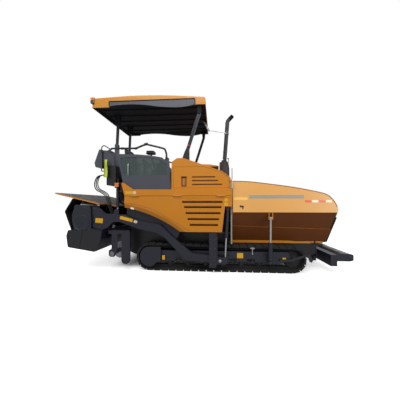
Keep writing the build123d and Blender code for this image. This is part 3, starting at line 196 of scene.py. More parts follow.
# sprayed paint: a tone that drifts, chips where edges rub, dust low down and on ledges, painted shade
# in corners, fine orange peel
def sprayedPaint(name, look):
    skin = Skin(name, coat=look["coat"])
    tone = look["tone"]
    skin.shader.inputs["Coat Roughness"].default_value = 0.14
    drift = skin.cloud(1.3, 4)
    colour = skin.blend(skin.step(drift, 0.3, 0.75) * look["drift"], tone, dimmed(tone, 0.8))
    grain = skin.cloud(60, 3)
    rub = skin.edges(0.004) * skin.patches(14, 4, 0.52, 0.68)
    chips = skin.patches(38, 2, 0.70, 0.74) * look["chips"]
    bare = skin.step(rub + chips, 0.35, 0.6)
    colour = skin.blend(bare * 0.8, colour, look["under"])
    # occlusion mask of the corners: dust gathers there, and the painted corner shade below uses it
    corner = skin.step(skin.corners(0.08), 0.25, 0.9)
    streaks = skin.step(skin.cloud(9, 3, (3, 3, 0.25)), 0.5, 0.85)
    low = skin.step(skin.axis("Z"), 0.9, 0.1)
    ledge = skin.step(skin.upness(), 0.6, 0.95)
    settled = corner * 0.3 + streaks * 0.16 + low * 0.35 + ledge * 0.3
    dust = settled * skin.step(grain, 0.25, 0.8) * look["dust"]
    colour = skin.blend(skin.step(dust, 0.0, 1.0), colour, dustTone)
    # painted shade: the paint's own tone dimmed where the corners are occluded
    colour = skin.blend(corner * look["cornerShade"], colour, dimmed(tone, 0.25))
    tar = skin.patches(22, 5, 0.66, 0.72) * skin.step(skin.axis("Z"), 1.0, 0.25) * look["tar"]
    colour = skin.blend(tar, colour, tarTone)
    skin.feed("Metallic", bare * look["metal"])
    peel = skin.cloud(420, 2)
    roughness = look["roughness"] + grain * 0.06 + dust * 0.3 + bare * 0.15
    return skin.finished(colour, roughness, peel * 0.25 + bare * -1.0 + tar * 1.2, 0.0006, 0.5)


# each paint: its tone and what lies under it; how strongly the clear coat, the drift of the tone, chips,
# dust, painted shade in corners and tar show; its roughness, and how metallic its bare spots are
paintColumns = ("tone", "under", "coat", "drift", "chips", "dust", "cornerShade", "tar", "roughness", "metal")
paintRows = {
    "bodyOrange": (rgb(0.825, 0.515, 0.03), primerTone, 0.22, 0.35, 0.3, 0.3, 0.55, 0.3, 0.32, 0.3),
    "slateBlue": (rgb(0.105, 0.112, 0.165), steelTone, 0.1, 0.45, 0.35, 0.35, 0.5, 0.5, 0.38, 0.6),
    "chassisBlack": (rgb(0.055, 0.06, 0.085), steelTone, 0.15, 0.4, 0.35, 0.22, 0.5, 0.6, 0.44, 0.6),
    "panelGrey": (rgb(0.27, 0.28, 0.32), primerTone, 0.25, 0.4, 0.25, 0.25, 0.5, 0.1, 0.38, 0.3),
    "screenSlate": (rgb(0.27, 0.28, 0.325), primerTone, 0.15, 0.3, 0.2, 0.2, 0.5, 0.0, 0.42, 0.2),
    # painted light and shade: a paler, lit copy of the orange for the wings' outer walls, and a darker,
    # shaded copy for their undersides
    "hopperWallPaintedLight": (rgb(0.87, 0.63, 0.31), primerTone, 0.15, 0.3, 0.2, 0.2, 0.35, 0.1, 0.36, 0.3),
    "hopperUnderPaintedShade": (rgb(0.50, 0.265, 0.055), primerTone, 0.0, 0.6, 0.2, 0.12, 0.5, 0.3, 0.62, 0.2),
    "hopperInside": (rgb(0.42, 0.27, 0.10), steelTone, 0.0, 0.9, 1.2, 0.5, 0.8, 1.0, 0.5, 0.8),
}
paints = {name: sprayedPaint(name, dict(zip(paintColumns, row))) for name, row in paintRows.items()}


# tread rubber: dull black, grey with dust on its faces, with fine pits
def treadRubber(name="treadRubber", dustShare=0.55):
    skin = Skin(name, roughness=0.85)
    cloud = skin.cloud(7, 5)
    lying = skin.step(skin.upness(), -0.2, 0.9) * 0.4 + skin.step(skin.corners(0.05), 0.3, 0.9) * 0.4
    greyed = skin.step(cloud, 0.35, 0.75) * dustShare
    colour = skin.blend(greyed, rgb(0.055, 0.055, 0.06), rgb(0.14, 0.135, 0.125))
    dust = lying * skin.patches(33, 4, 0.35, 0.7) * dustShare
    colour = skin.blend(dust, colour, rgb(0.24, 0.22, 0.19))
    pits = skin.cloud(160, 4)
    crumbs = skin.step(skin.cells(45), 0.0, 0.3)
    return skin.finished(colour, 0.75 + cloud * 0.2, pits + crumbs * 0.4, 0.0012, 0.6)


# cast or forged wheel iron: dark, with rubbed rims and dusty webs
def wheelIron():
    skin = Skin("wheelIron", roughness=0.5, metallic=0.5)
    cloud = skin.cloud(11, 4)
    colour = skin.blend(skin.step(cloud, 0.3, 0.7), rgb(0.10, 0.10, 0.11), rgb(0.17, 0.165, 0.16))
    rub = skin.edges(0.006) * skin.patches(20, 3, 0.35, 0.6)
    colour = skin.blend(rub, colour, rgb(0.52, 0.51, 0.5))
    dust = skin.step(skin.corners(0.06), 0.3, 0.9) * 0.6
    colour = skin.blend(dust, colour, rgb(0.24, 0.22, 0.19))
    skin.feed("Metallic", 0.3 + rub * 0.6)
    return skin.finished(colour, 0.62 - rub * 0.25 + dust * 0.2, skin.cloud(120, 4), 0.0009, 0.5)


# steel polished by asphalt: bright, with scratches that the stretch draws out, and tar left in the corners
def rubbedSteel(name, stretch, tone, tarShare, metal=0.92):
    skin = Skin(name, metallic=metal)
    scratch = skin.cloud(90, 3, stretch)
    cloud = skin.cloud(6, 4)
    colour = skin.blend(skin.step(cloud, 0.3, 0.75) * 0.7, tone, dimmed(tone, 0.55))
    tar = skin.step(skin.corners(0.05) + skin.patches(18, 4, 0.55, 0.8) * 0.6, 0.4, 0.85) * tarShare
    colour = skin.blend(tar, colour, tarTone)
    skin.feed("Metallic", metal - tar * metal * 0.9)
    return skin.finished(colour, 0.28 + scratch * 0.22 + tar * 0.4, scratch * 0.4 + tar, 0.0007, 0.45)


# ground chrome: mirror bright, with an oil film and faint rings round a standing rod
def groundChrome():
    skin = Skin("groundChrome", roughness=0.08, metallic=1.0)
    film = skin.step(skin.cloud(16, 3, (1, 1, 4)), 0.5, 0.8)
    return skin.finished(skin.blend(film * 0.5, rgb(0.78, 0.79, 0.82), rgb(0.5, 0.46, 0.4)),
                         0.09 + film * 0.16, skin.cloud(300, 2, (1, 1, 6)), 0.0002, 0.25)


# sand-cast engine iron: grainy grey with oily stains
def sandIron():
    skin = Skin("sandIron", metallic=0.3)
    stain = skin.patches(8, 5, 0.45, 0.7)
    return skin.finished(skin.blend(stain, rgb(0.23, 0.23, 0.23), rgb(0.09, 0.08, 0.07)),
                         0.68 - stain * 0.25, skin.cloud(220, 4), 0.001, 0.6)


# tinted safety glass: grey-green, hardly see-through, with wiped dust
def tintedGlass():
    skin = Skin("tintedGlass", roughness=0.05, coat=0.8)
    smear = skin.step(skin.cloud(5, 4, (1, 1, 0.5)), 0.45, 0.8)
    skin.feed("Base Color", skin.blend(smear * 0.4, rgb(0.20, 0.26, 0.26), rgb(0.40, 0.43, 0.42)))
    skin.feed("Roughness", 0.05 + smear * 0.12)
    skin.feed("Alpha", 0.84 + smear * 0.1)
    return skin.material


# embossed seat vinyl: black, with a pebbled grain and worn shine on the crowns
def seatVinyl():
    skin = Skin("seatVinyl")
    grain = skin.cells(340)
    worn = skin.patches(9, 3, 0.45, 0.7)
    return skin.finished(skin.blend(worn, rgb(0.07, 0.07, 0.08), rgb(0.12, 0.12, 0.13)),
                         0.58 - worn * 0.16, skin.step(grain, 0.05, 0.5), 0.0005, 0.6)


# moulded plastic: fine spark-eroded texture, paler where rubbed, with dust in corners and on top
def mouldedPlastic(name, tone, roughness, coat=0.0, dustShare=0.2):
    skin = Skin(name, coat=coat)
    rub = skin.edges(0.005) * 0.35
    paler = tuple(min(1.0, c * 1.4 + 0.01) for c in tone[:3]) + (1.0,)
    colour = skin.blend(rub + skin.patches(3, 4, 0.4, 0.8) * 0.2, tone, paler)
    dust = skin.step(skin.corners(0.06) + skin.step(skin.upness(), 0.7, 1.0) * 0.5, 0.3, 1.0) * dustShare
    return skin.finished(skin.blend(dust, colour, dimmed(dustTone, 0.6)),
                         roughness + skin.cloud(30, 3) * 0.1 + dust * 0.3, skin.cloud(500, 3), 0.0003, 0.35)


# sewn canopy lining: black needle felt, with a soft nap
def liningFelt():
    skin = Skin("liningFelt")
    nap = skin.cloud(260, 4)
    return skin.finished(skin.blend(nap, rgb(0.035, 0.035, 0.06), rgb(0.08, 0.08, 0.12)),
                         0.8 + nap * 0.15, nap, 0.0008, 0.6)


# heat-resistant coating: dark grey, browned below, where it is hot, with soot at the tip
def exhaustCoat():
    skin = Skin("exhaustCoat", metallic=0.35)
    cloud = skin.cloud(10, 4)
    colour = skin.blend(skin.step(cloud, 0.35, 0.7), rgb(0.19, 0.195, 0.21), rgb(0.26, 0.26, 0.27))
    heat = skin.step(skin.axis("Z") + cloud * 0.3, 3.3, 2.7)
    colour = skin.blend(heat * 0.3, colour, rgb(0.26, 0.19, 0.14))
    soot = skin.step(skin.axis("Z") + cloud * 0.06, 3.86, 3.9)
    colour = skin.blend(soot, colour, rgb(0.03, 0.03, 0.03))
    return skin.finished(colour, 0.45 + cloud * 0.2 + soot * 0.3, skin.cloud(150, 4), 0.0005, 0.4)


# lamp lens: clear coloured plastic with moulded ribs
def lampLens(name, tone, glow):
    skin = Skin(name, roughness=0.15, coat=0.8)
    rib = skin.add("ShaderNodeTexWave", {"bands_direction": "Z"}, {"Vector": skin.place, "Scale": 40.0})
    skin.feed("Base Color", skin.blend(rib, dimmed(tone, 0.6), tone))
    skin.shader.inputs["Emission Strength"].default_value = glow
    skin.feed("Emission Color", skin.blend(rib, dimmed(tone, 0.6), tone))
    skin.relief(rib, 0.001, 0.5)
    return skin.material


# printed film: an even tone, darker where it is scuffed in small and in large patches
def printedFilm(name, tone):
    skin = Skin(name, roughness=0.4, coat=0.2)
    scuff = skin.patches(45, 4, 0.6, 0.75) * 0.3 + skin.patches(8, 3, 0.45, 0.8) * 0.25
    colour = skin.blend(scuff, tone, dimmed(tone, 0.55))
    return skin.finished(colour, 0.36 + scuff * 0.5, skin.cloud(200, 2), 0.0002, 0.3)


# raised tread plate: lozenges in crossed rows, worn bright on their tops, dust between them
def treadPlate():
    skin = Skin("treadPlate", metallic=0.3)
    rows = skin.cells(26, (1, 1.7, 0), 0.0)
    lozenge = skin.step(rows, 0.34, 0.2)
    worn = lozenge * skin.patches(5, 4, 0.4, 0.7)
    colour = skin.blend(skin.patches(12, 4, 0.3, 0.7), rgb(0.07, 0.07, 0.08), rgb(0.15, 0.14, 0.13))
    return skin.finished(skin.blend(worn * 0.6, colour, rgb(0.36, 0.35, 0.34)),
                         0.65 - worn * 0.25, lozenge, 0.003, 0.9)


# punched sheet: dark paint with rows of round holes, black inside as painted shade
def punchedSheet():
    skin = Skin("punchedSheet", metallic=0.3)
    rows = skin.cells(17, (0, 1, 1), 0.0)
    paintedHoleShade = skin.step(rows, 0.30, 0.26)
    rim = skin.step(rows, 0.36, 0.31) - paintedHoleShade
    cloud = skin.patches(9, 4, 0.35, 0.7)
    colour = skin.blend(cloud, rgb(0.075, 0.08, 0.095), rgb(0.13, 0.13, 0.14))
    colour = skin.blend(rim * 0.5, colour, rgb(0.42, 0.42, 0.43))
    # painted shade: the holes' insides black
    return skin.finished(skin.blend(paintedHoleShade, colour, rgb(0.01, 0.01, 0.012)),
                         0.5 + paintedHoleShade * 0.4, paintedHoleShade * -1.0 + rim * 0.3, 0.004, 0.9)


# woven webbing: a bright weave of crossed threads, with a dark hem on both sides, read from its UV map
def brightWebbing():
    skin = Skin("brightWebbing", roughness=0.8)
    sheetPlace = skin.add("ShaderNodeTexCoord", out="UV")
    across = skin.add("ShaderNodeSeparateXYZ", None, {0: sheetPlace}, out="X")
    weave = skin.add("ShaderNodeTexChecker", None, {"Vector": sheetPlace, "Scale": 60.0}, out=1)
    hem = skin.step(across, 0.16, 0.10) + skin.step(across, 0.84, 0.90)
    colour = skin.blend(weave * 0.3, rgb(0.77, 0.84, 0.25), rgb(0.58, 0.66, 0.15))
    return skin.finished(skin.blend(hem, colour, rgb(0.15, 0.17, 0.08)),
                         0.75 + weave * 0.15, weave, 0.0005, 0.5)


# wrapped hose cover: black rubber with faint cloth marks across it, dusty on top
def hoseCover():
    skin = Skin("hoseCover", roughness=0.5)
    marks = skin.cloud(220, 2, (1, 1, 2.5))
    dust = skin.step(skin.upness(), 0.3, 1.0) * skin.patches(24, 4, 0.35, 0.75) * 0.4
    colour = skin.blend(marks, rgb(0.045, 0.045, 0.05), rgb(0.085, 0.085, 0.09))
    return skin.finished(skin.blend(dust, colour, rgb(0.25, 0.23, 0.2)),
                         0.42 + marks * 0.2 + dust * 0.3, marks, 0.0006, 0.5)


# display glass: near black, with a faint grid of paler cells
def darkDisplay():
    skin = Skin("darkDisplay", roughness=0.1, coat=0.8)
    lines = skin.step(skin.cells(60, randomness=0.0), 0.42, 0.5)
    return skin.finished(skin.blend(lines, rgb(0.03, 0.05, 0.06), rgb(0.10, 0.16, 0.17)),
                         0.08 + lines * 0.1, lines, 0.0002, 0.2)


rubberBlack = treadRubber("rubberBlack", 0.25)
zincPlate = rubbedSteel("zincPlate", (2, 2, 2), rgb(0.80, 0.81, 0.83), 0.25, 0.75)
labelYellow = printedFilm("labelYellow", rgb(0.90, 0.68, 0.10))
labelPale = printedFilm("labelPale", rgb(0.86, 0.80, 0.72))
tapeRed = printedFilm("tapeRed", rgb(0.90, 0.38, 0.22))
tapeWhite = printedFilm("tapeWhite", rgb(0.96, 0.90, 0.78))
bandGrey = printedFilm("bandGrey", rgb(0.60, 0.58, 0.53))
patchYellow = printedFilm("patchYellow", rgb(0.96, 0.78, 0.33))
knobRed = mouldedPlastic("knobRed", rgb(0.72, 0.06, 0.05), 0.3, 0.4)
knobBlack = mouldedPlastic("knobBlack", rgb(0.05, 0.05, 0.055), 0.35, 0.2)
webbing = brightWebbing()
display = darkDisplay()
boltGrey = rubbedSteel("boltGrey", (2, 2, 2), rgb(0.30, 0.31, 0.34), 0.3, 0.6)
pipeBlack = mouldedPlastic("pipeBlack", rgb(0.035, 0.035, 0.04), 0.3, 0.3)
# brown painted shade, for the insides of slots and pockets
slotPaintedShade = printedFilm("slotPaintedShade", rgb(0.56, 0.34, 0.10))
# painted shade for louvre blades that face down
bladePaintedShade = printedFilm("bladePaintedShade", rgb(0.25, 0.12, 0.03))
# painted shade: brown for orange beads that lie in shadow
beadPaintedShade = printedFilm("beadPaintedShade", rgb(0.60, 0.38, 0.12))
finishes = {
    "orange_paint": paints["bodyOrange"],
    "slate_paint": paints["slateBlue"],
    "dark_paint": paints["chassisBlack"],
    "grey_paint": paints["panelGrey"],
    "track_rubber": treadRubber(),
    "hose_rubber": hoseCover(),
    "wheel_steel": wheelIron(),
    "worn_steel": rubbedSteel("rubbedSteel", (0.3, 3, 3), rgb(0.62, 0.62, 0.63), 0.7),
    "rod_chrome": groundChrome(),
    "engine_iron": sandIron(),
    "window_tint": tintedGlass(),
    "seat_cover": seatVinyl(),
    "moulded_grey": mouldedPlastic("mouldedGrey", rgb(0.12, 0.12, 0.13), 0.5),
    "canopy_orange": mouldedPlastic("canopyOrange", rgb(0.80, 0.53, 0.09), 0.34, 0.12, 0.05),
    "canopy_grey": mouldedPlastic("canopyGrey", rgb(0.30, 0.305, 0.345), 0.4, 0.1, 0.05),
    "canopy_lining": liningFelt(),
    "exhaust_steel": exhaustCoat(),
    "lamp_orange": lampLens("lampOrange", rgb(0.9, 0.5, 0.12), 0.15),
}
for part in frame["record"]["subparts"]:
    mesh = nodes[part["node"]].data
    mesh.materials.clear()
    mesh.materials.append(finishes[part["material_slot"]])
nodes["side_screens"].data.materials[0] = paints["screenSlate"]
nodes["screed_rear_guard"].data.materials[0] = punchedSheet()


# another finish on those faces of a node that the mask picks, from their middles and normals
def paintFaces(node, finish, mask):
    mesh = nodes[node].data
    count = len(mesh.polygons)
    middles = np.empty(count * 3)
    normals = np.empty(count * 3)
    mesh.polygons.foreach_get("center", middles)
    mesh.polygons.foreach_get("normal", normals)
    chosen = mask(middles.reshape(-1, 3).T, normals.reshape(-1, 3).T)
    slots = np.zeros(count, dtype=np.int32)
    mesh.polygons.foreach_get("material_index", slots)
    slots[chosen] = len(mesh.materials)
    mesh.materials.append(finish)
    mesh.polygons.foreach_set("material_index", slots)


# limits of the painted faces, in metres: x and z as they are, y from the centre plane
faceLook = dict(hoodRim=dict(y=0.95, reach=0.06, z=2.53), roofInside=dict(x=(-2.515, 0.145), y=1.03, z=4.03),
                dropArm=dict(x=0.03, y=0.025, reach=0.06, z=3.78), wallFoot=1.33, underFront=0.7,
                blades=dict(x=0.1, reach=0.5, y=1.2, z=(1.0, 1.6)))


# the rim of the hood
def hoodRim(p, n):
    rim = faceLook["hoodRim"]
    return (p[2] > rim["z"]) & (np.abs(np.abs(p[1]) - rim["y"]) < rim["reach"])


# the canopy's inside, seen from below
def roofInside(p, n):
    inside = faceLook["roofInside"]
    rear, front = inside["x"]
    return (np.abs(p[1]) < inside["y"]) & (p[0] > rear) & (p[0] < front) & (n[2] < 0.2) & (p[2] < inside["z"])


# the arm that drops from the canopy to the exhaust link
def dropArm(p, n):
    arm = faceLook["dropArm"]
    return (p[0] > arm["x"]) & (np.abs(p[1] - arm["y"]) < arm["reach"]) & (p[2] < arm["z"])


# the slanting blades of a side door's louvres, which face out and down; they take a painted shade
def doorBlades(p, n):
    blades = faceLook["blades"]
    low, high = blades["z"]
    facing = (n[2] < -0.3) & (np.abs(n[1]) > 0.5)
    inside = (np.abs(p[1]) > blades["y"]) & (np.abs(p[0] - blades["x"]) < blades["reach"])
    return facing & inside & (p[2] > low) & (p[2] < high)


paintFaces("engine_hood", paints["chassisBlack"], hoodRim)
paintFaces("canopy_roof", finishes["canopy_lining"], roofInside)
paintFaces("screed_walkway", treadPlate(), lambda p, n: n[2] > 0.9)
edgeCream = printedFilm("edgeCream", rgb(0.62, 0.58, 0.48))
paintFaces("hopper_bulkhead", edgeCream, lambda p, n: np.abs(n[1]) > 0.9)
paintFaces("canopy_lining", zincPlate, dropArm)
nodes["exhaust_link"].data.materials[0] = zincPlate
for side, word in hands:
    wing = "wing_" + word
    paintFaces(wing, paints["hopperInside"], lambda p, n: (n[1] * side < -0.4) & (n[2] > -0.5))
    # painted light on the wings' outer walls, painted shade on the faces below that look down
    paintFaces(wing, paints["hopperWallPaintedLight"], lambda p, n: (n[1] * side > 0.9) & (p[2] > faceLook["wallFoot"]))
    paintFaces(wing, paints["hopperUnderPaintedShade"],
               lambda p, n: (n[1] * side > 0.3) & (n[2] < -0.3) & (p[0] > faceLook["underFront"]))
    # painted shade on the down-facing louvre blades
    paintFaces("side_door_" + word, bladePaintedShade, doorBlades)
print("paints, rubber and steel are on")


# a unit vector
def unit(vector):
    vector = np.asarray(vector, float)
    return vector / np.linalg.norm(vector, axis=-1, keepdims=True)


forward, leftward, upward = np.eye(3)


# outline of a rectangle with round corners: four quarter circles, each of so many points
def softRectangle(width, height, radius, steps=4):
    turn = np.linspace(0, math.pi / 2, steps)
    quarter = (np.arange(4)[:, None] * math.pi / 2 + turn[None, :]).ravel()
    cornersX = np.repeat([1, -1, -1, 1], steps) * (width / 2 - radius)
    cornersY = np.repeat([1, 1, -1, -1], steps) * (height / 2 - radius)
    return np.stack([cornersX + radius * np.cos(quarter), cornersY + radius * np.sin(quarter)], -1)


# outline of a polygon with its corners cut back twice, each cut at that share of the edge
def softPolygon(corners, share=0.25):
    corners = np.asarray(corners, float)
    for _ in range(2):
        after = np.roll(corners, -1, axis=0)
        corners = np.stack([corners + (after - corners) * share, after + (corners - after) * share], 1)
        corners = corners.reshape(-1, corners.shape[-1])
    return corners


# a smooth path: each corner cut twice or more, at a quarter of the edge, with the ends kept
def softPath(points, times=2):
    points = np.asarray(points, float)
    for _ in range(times):
        start, end = points[:-1], points[1:]
        cut = np.stack([start * 0.75 + end * 0.25, start * 0.25 + end * 0.75], 1).reshape(-1, 3)
        points = np.concatenate([points[:1], cut[1:-1], points[-1:]])
    return points


# a circle's points as shares of two directions: cosine times the first and sine times the second
def circled(first, second, sides):
    angle = np.linspace(0, 2 * math.pi, sides, endpoint=False)[:, None]
    return np.cos(angle) * first[..., None, :] + np.sin(angle) * second[..., None, :]


# rings of a turned piece: rows of (distance along the axis, radius), carried round the axis
def turnedRings(profile, origin, axis, sides=20):
    profile = np.asarray(profile, float)
    axis = unit(axis)
    across = unit(np.cross(axis, (0.31, 0.52, 0.8)))    # any direction that isn't the axis
    circle = circled(across, np.cross(axis, across), sides)
    return np.asarray(origin) + profile[:, :1, None] * axis + profile[:, 1:, None] * circle[None]


# faces of a grid of points: each joined to the next in its row and in the row after
def gridFaces(rows, columns, closed):
    row = np.arange(rows - 1)[:, None]
    column = np.arange(columns if closed else columns - 1)[None, :]
    first = row * columns + column
    second = row * columns + (column + 1) % columns
    return np.stack([first, second, second + columns, first + columns], -1).reshape(-1, 4)


# points and faces of one piece, gathered part by part
class Shape:
    def __init__(self):
        self.points = np.empty((0, 3))
        self.quads = np.empty((0, 4), int)
        self.caps = []

    # rings (rows, columns, 3) joined row to row and closed around; the end rings get caps
    def rings(self, rings, capped=True):
        rows, columns = rings.shape[:2]
        start = len(self.points)
        self.points = np.concatenate([self.points, rings.reshape(-1, 3)])
        self.quads = np.concatenate([self.quads, start + gridFaces(rows, columns, True)])
        if capped:
            around = start + np.arange(columns)
            self.caps += [around[::-1], around + (rows - 1) * columns]
        return self

    # a plate: its outline at both faces, drawn in by the bevel at the outer one
    def plate(self, outline, origin, across, up, thick, bevel=0.0008, back=0.0):
        across, up = unit(across), unit(up)
        out = np.cross(across, up)
        middle = outline.mean(0)
        size = np.abs(outline - middle).max()
        rows = []
        for depth, share in ((back, 1), (thick - bevel, 1), (thick, 1 - bevel / size)):
            flat = middle + (outline - middle) * share
            rows.append(np.asarray(origin) + flat[:, :1] * across + flat[:, 1:] * up + out * depth)
        return self.rings(np.stack(rows))

    # a plate that faces right, its outline drawn in x and z round the origin
    def sidePlate(self, outline, origin, thick, bevel=0.0008, back=0.0):
        return self.plate(outline, origin, forward, upward, thick, bevel, back)

    def turned(self, profile, origin, axis, sides=20):
        return self.rings(turnedRings(profile, origin, axis, sides))

    # a round bar: circles square to the path, held upright by a fixed direction
    def bar(self, path, radius, upright, sides=12):
        path = np.asarray(path, float)
        along = unit(np.gradient(path, axis=0))
        across = unit(np.cross(along, upright))
        return self.rings(path[:, None] + circled(across, np.cross(along, across), sides) * radius)

    # a mirrored copy of all that is there, across the centre plane
    def mirrored(self):
        total = len(self.points)
        self.points = np.concatenate([self.points, self.points * (1, -1, 1)])
        self.quads = np.concatenate([self.quads, self.quads[:, ::-1] + total])
        self.caps += [cap[::-1] + total for cap in self.caps]
        return self

    # the finished piece: its mesh and material, riding on a body
    def made(self, name, finish, body, slotName, angle=35.0, replaced=()):
        mesh = bpy.data.meshes.new(name)
        mesh.from_pydata(self.points.tolist(), [], self.quads.tolist() + [cap.tolist() for cap in self.caps])
        shell = bmesh.new()
        shell.from_mesh(mesh)
        bmesh.ops.recalc_face_normals(shell, faces=shell.faces)
        shell.to_mesh(mesh)
        shell.free()
        mesh.shade_smooth()
        mesh.set_sharp_from_angle(angle=math.radians(angle))
        mesh.materials.append(finish)
        thing = bpy.data.objects.new(name, mesh)
        bpy.context.collection.objects.link(thing)
        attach(thing, body)
        if replaced:
            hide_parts(*replaced)
        return thing

    # the piece of one hand, mirrored for the left; a body that ends in "_" takes the hand's word too
    def madeOn(self, side, word, name, finish, body, slotName):
        drawn = self.points
        self.points = drawn * (1, -side, 1)
        self.made(name + "_" + word, finish, body + word if body.endswith("_") else body, slotName)
        self.points = drawn

    # the pieces of both hands
    def madeTwice(self, *look):
        for side, word in hands:
            self.madeOn(side, word, *look)


# hoses behind the platform: drop is the route in x and z, rows give each hose its y and how far it fans out,
# and spread says how much of that fanning each point takes
hoseLook = dict(diameter=0.024, length=1.60, spreadUp=0.8,
                rows=(("A", -0.960, -0.003), ("B", -0.925, 0.016), ("C", -0.890, 0.035)),
                drop=((-2.200, 2.200), (-2.400, 2.200), (-2.484, 2.100), (-2.512, 1.950), (-2.462, 1.836),
                      (-2.352, 1.788), (-2.246, 1.724), (-2.190, 1.590), (-2.150, 1.420), (-2.080, 1.260),
                      (-2.040, 1.110), (-2.040, 0.945)),
                spread=(0, 0.7, 1, 1, 1, 1, 1, 0.9, 0.7, 0.4, 0.15, 0))
# the swaged fitting: distance from the end, and radius as a share of the hose's
ferruleProfile = ((-0.002, 0.9), (0.0, 1.35), (0.018, 1.35), (0.020, 1.5), (0.034, 1.5), (0.036, 1.22),
                  (0.052, 1.22), (0.055, 1.12), (0.060, 1.05))


# a hose as a free curve through its row's points, with a fitting at each end
def hose(name, y, fan):
    drop = np.array(hoseLook["drop"])
    spread = np.array(hoseLook["spread"])
    radius = hoseLook["diameter"] / 2
    places = np.ones((len(drop), 4))
    places[:, 0] = drop[:, 0] + fan * spread
    places[:, 1] = y
    places[:, 2] = drop[:, 1] + fan * hoseLook["spreadUp"] * spread
    line = bpy.data.curves.new(name, "CURVE")
    line.dimensions = "3D"
    spline = line.splines.new("NURBS")
    spline.points.add(len(places) - 1)
    spline.points.foreach_set("co", places.ravel())
    spline.order_u = 3
    spline.use_endpoint_u = True
    line.bevel_depth = radius
    line.bevel_resolution = 3
    line.resolution_u = 8
    line.materials.append(finishes["hose_rubber"])
    cord = bpy.data.objects.new(name, line)
    bpy.context.collection.objects.link(cord)
    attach(cord, "machine")
    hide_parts("rear_hoses")
    start, end = ((x, y, z) for x, z in (drop[0], drop[-1]))
    ferrule = np.array(ferruleProfile) * (1, radius)
    pair = Shape().turned(ferrule, start, -forward, 18).turned(ferrule, end, upward, 18)
    fittings = pair.made(name + "Ends", zincPlate, "machine", "worn_steel")


for letter, y, fan in hoseLook["rows"]:
    hose("hydraulicHose" + letter, y, fan)
print("hoses hang")

# seats: place and size of each cushion, and where its channels are sewn, as shares of its half length
seatLook = dict(rows=(("Right", -0.62), ("Left", 0.62)), crown=0.28, pinch=0.035, seamDepth=0.16,
                seatPlace=(-1.455, 2.255), seatSize=(0.43, 0.44, 0.095), seatSeams=(-0.25, 0.25),
                backPlace=(-1.672, 2.56), backSize=(0.46, 0.41, 0.075), backSeams=(-0.3, 0.3),
                backLean=math.atan2(0.09, 0.66))


# a crowned cushion: a box rounded by powers of sine and cosine, its top raised in the middle, its rim
# pinched between the corners, and sewn channels pressed in across it
def crownedCushion(middle, along, across, size, seams):
    rise = np.linspace(-math.pi / 2, math.pi / 2, 25)
    turn = np.linspace(0, 2 * math.pi, 72, endpoint=False)

    def eased(value, power):
        return np.sign(value) * np.abs(value) ** power

    reach = eased(np.cos(rise), 0.32)[:, None]
    x = reach * eased(np.cos(turn), 0.42)[None, :]
    y = reach * eased(np.sin(turn), 0.42)[None, :]
    z = np.repeat(eased(np.sin(rise), 0.6)[:, None], len(turn), axis=1)
    crown = seatLook["crown"] * (1 - x ** 2) * (1 - y ** 2) * np.clip(z, 0, 1)
    pinch = 1 - seatLook["pinch"] * (1 - np.abs(x * y)) * (1 - np.abs(z))
    pressed = sum(np.exp(-((x - place) / 0.035) ** 2) for place in seams) * seatLook["seamDepth"]
    height = z * 0.78 + crown - pressed * np.clip(z, 0, 1)
    along, across = unit(along), unit(across)
    shares = ((x * pinch, along), (y * pinch, across), (height, np.cross(along, across)))
    places = np.asarray(middle)
    for span, (share, axis) in zip(size, shares):
        places = places + (share * span / 2)[..., None] * axis
    return places


for word, y in seatLook["rows"]:
    x, z = seatLook["seatPlace"]
    backX, backZ = seatLook["backPlace"]
    upBack = (-math.sin(seatLook["backLean"]), 0, math.cos(seatLook["backLean"]))
    seat = crownedCushion((x, y, z), forward, leftward, seatLook["seatSize"], seatLook["seatSeams"])
    back = crownedCushion((backX, y, backZ), upBack, -leftward, seatLook["backSize"], seatLook["backSeams"])
    for name, rings in (("seatPad", seat), ("seatBack", back)):
        pad = Shape().rings(rings).made(name + word, finishes["seat_cover"], "machine", "seat_cover", 80.0,
                                        ("seat_cushions",))
print("seats are padded")

# hopper wing: its wall leans in above the knee, and its floor slopes down from there to the foot, in y and z
wallLook = dict(lean=math.radians(14.8), knee=(1.25, 1.33), foot=(0.76, 0.625))
# what is on the wall, by x along it and height up it from the knee
trimLook = dict(stripe=(1.112, 2.27, 0.305, 0.384), patch=(0.775, 1.085, 0.272, 0.332),
                tape=((2.28, 2.415), (2.42, 2.555), (2.56, 2.70), (2.705, 2.825)), tapeHeight=(0.216, 0.270),
                latch=(0.95, 0.108), rim=((0.780, 0.712), (1.128, 0.699), (1.760, 0.612), (2.173, 0.543),
                                          (2.600, 0.446), (2.775, 0.390), (2.880, 0.245), (2.918, 0.120)))
beadRadius = 0.009
# the latch's plate, lever and hook: x from and to, height from and to, corner radius, thickness and turn
latchRows = ((-0.042, 0.042, 0.004, 0.034, 0.006, 0.006, 0.0),
             (0.012, 0.030, -0.034, 0.030, 0.006, 0.011, 0.0),
             (-0.040, -0.016, 0.010, 0.046, 0.008, 0.014, 0.5))
flapLook = dict(x=(2.893, 2.930), share=(0.02, 0.85), radius=0.008, thick=0.010)


# a place on the right wing's wall, from x and the height up the wall
def onWall(x, height):
    y, z = wallLook["knee"]
    return np.array((x, height * math.sin(wallLook["lean"]) - y, z + height * math.cos(wallLook["lean"])))


# a plate on the wall of a wing, from x and height to x and height
def wallPlate(shape, side, x0, x1, h0, h1, radius, thick=0.0012, turn=0.0):
    up = np.array((0, -side * math.sin(wallLook["lean"]), math.cos(wallLook["lean"])))
    along = -side * forward
    across = along * math.cos(turn) + up * math.sin(turn)
    upright = up * math.cos(turn) - along * math.sin(turn)
    middle = onWall((x0 + x1) / 2, (h0 + h1) / 2) * (1, -side, 1)
    return shape.plate(softRectangle(x1 - x0, h1 - h0, radius), middle, across, upright, thick, back=-0.0006)


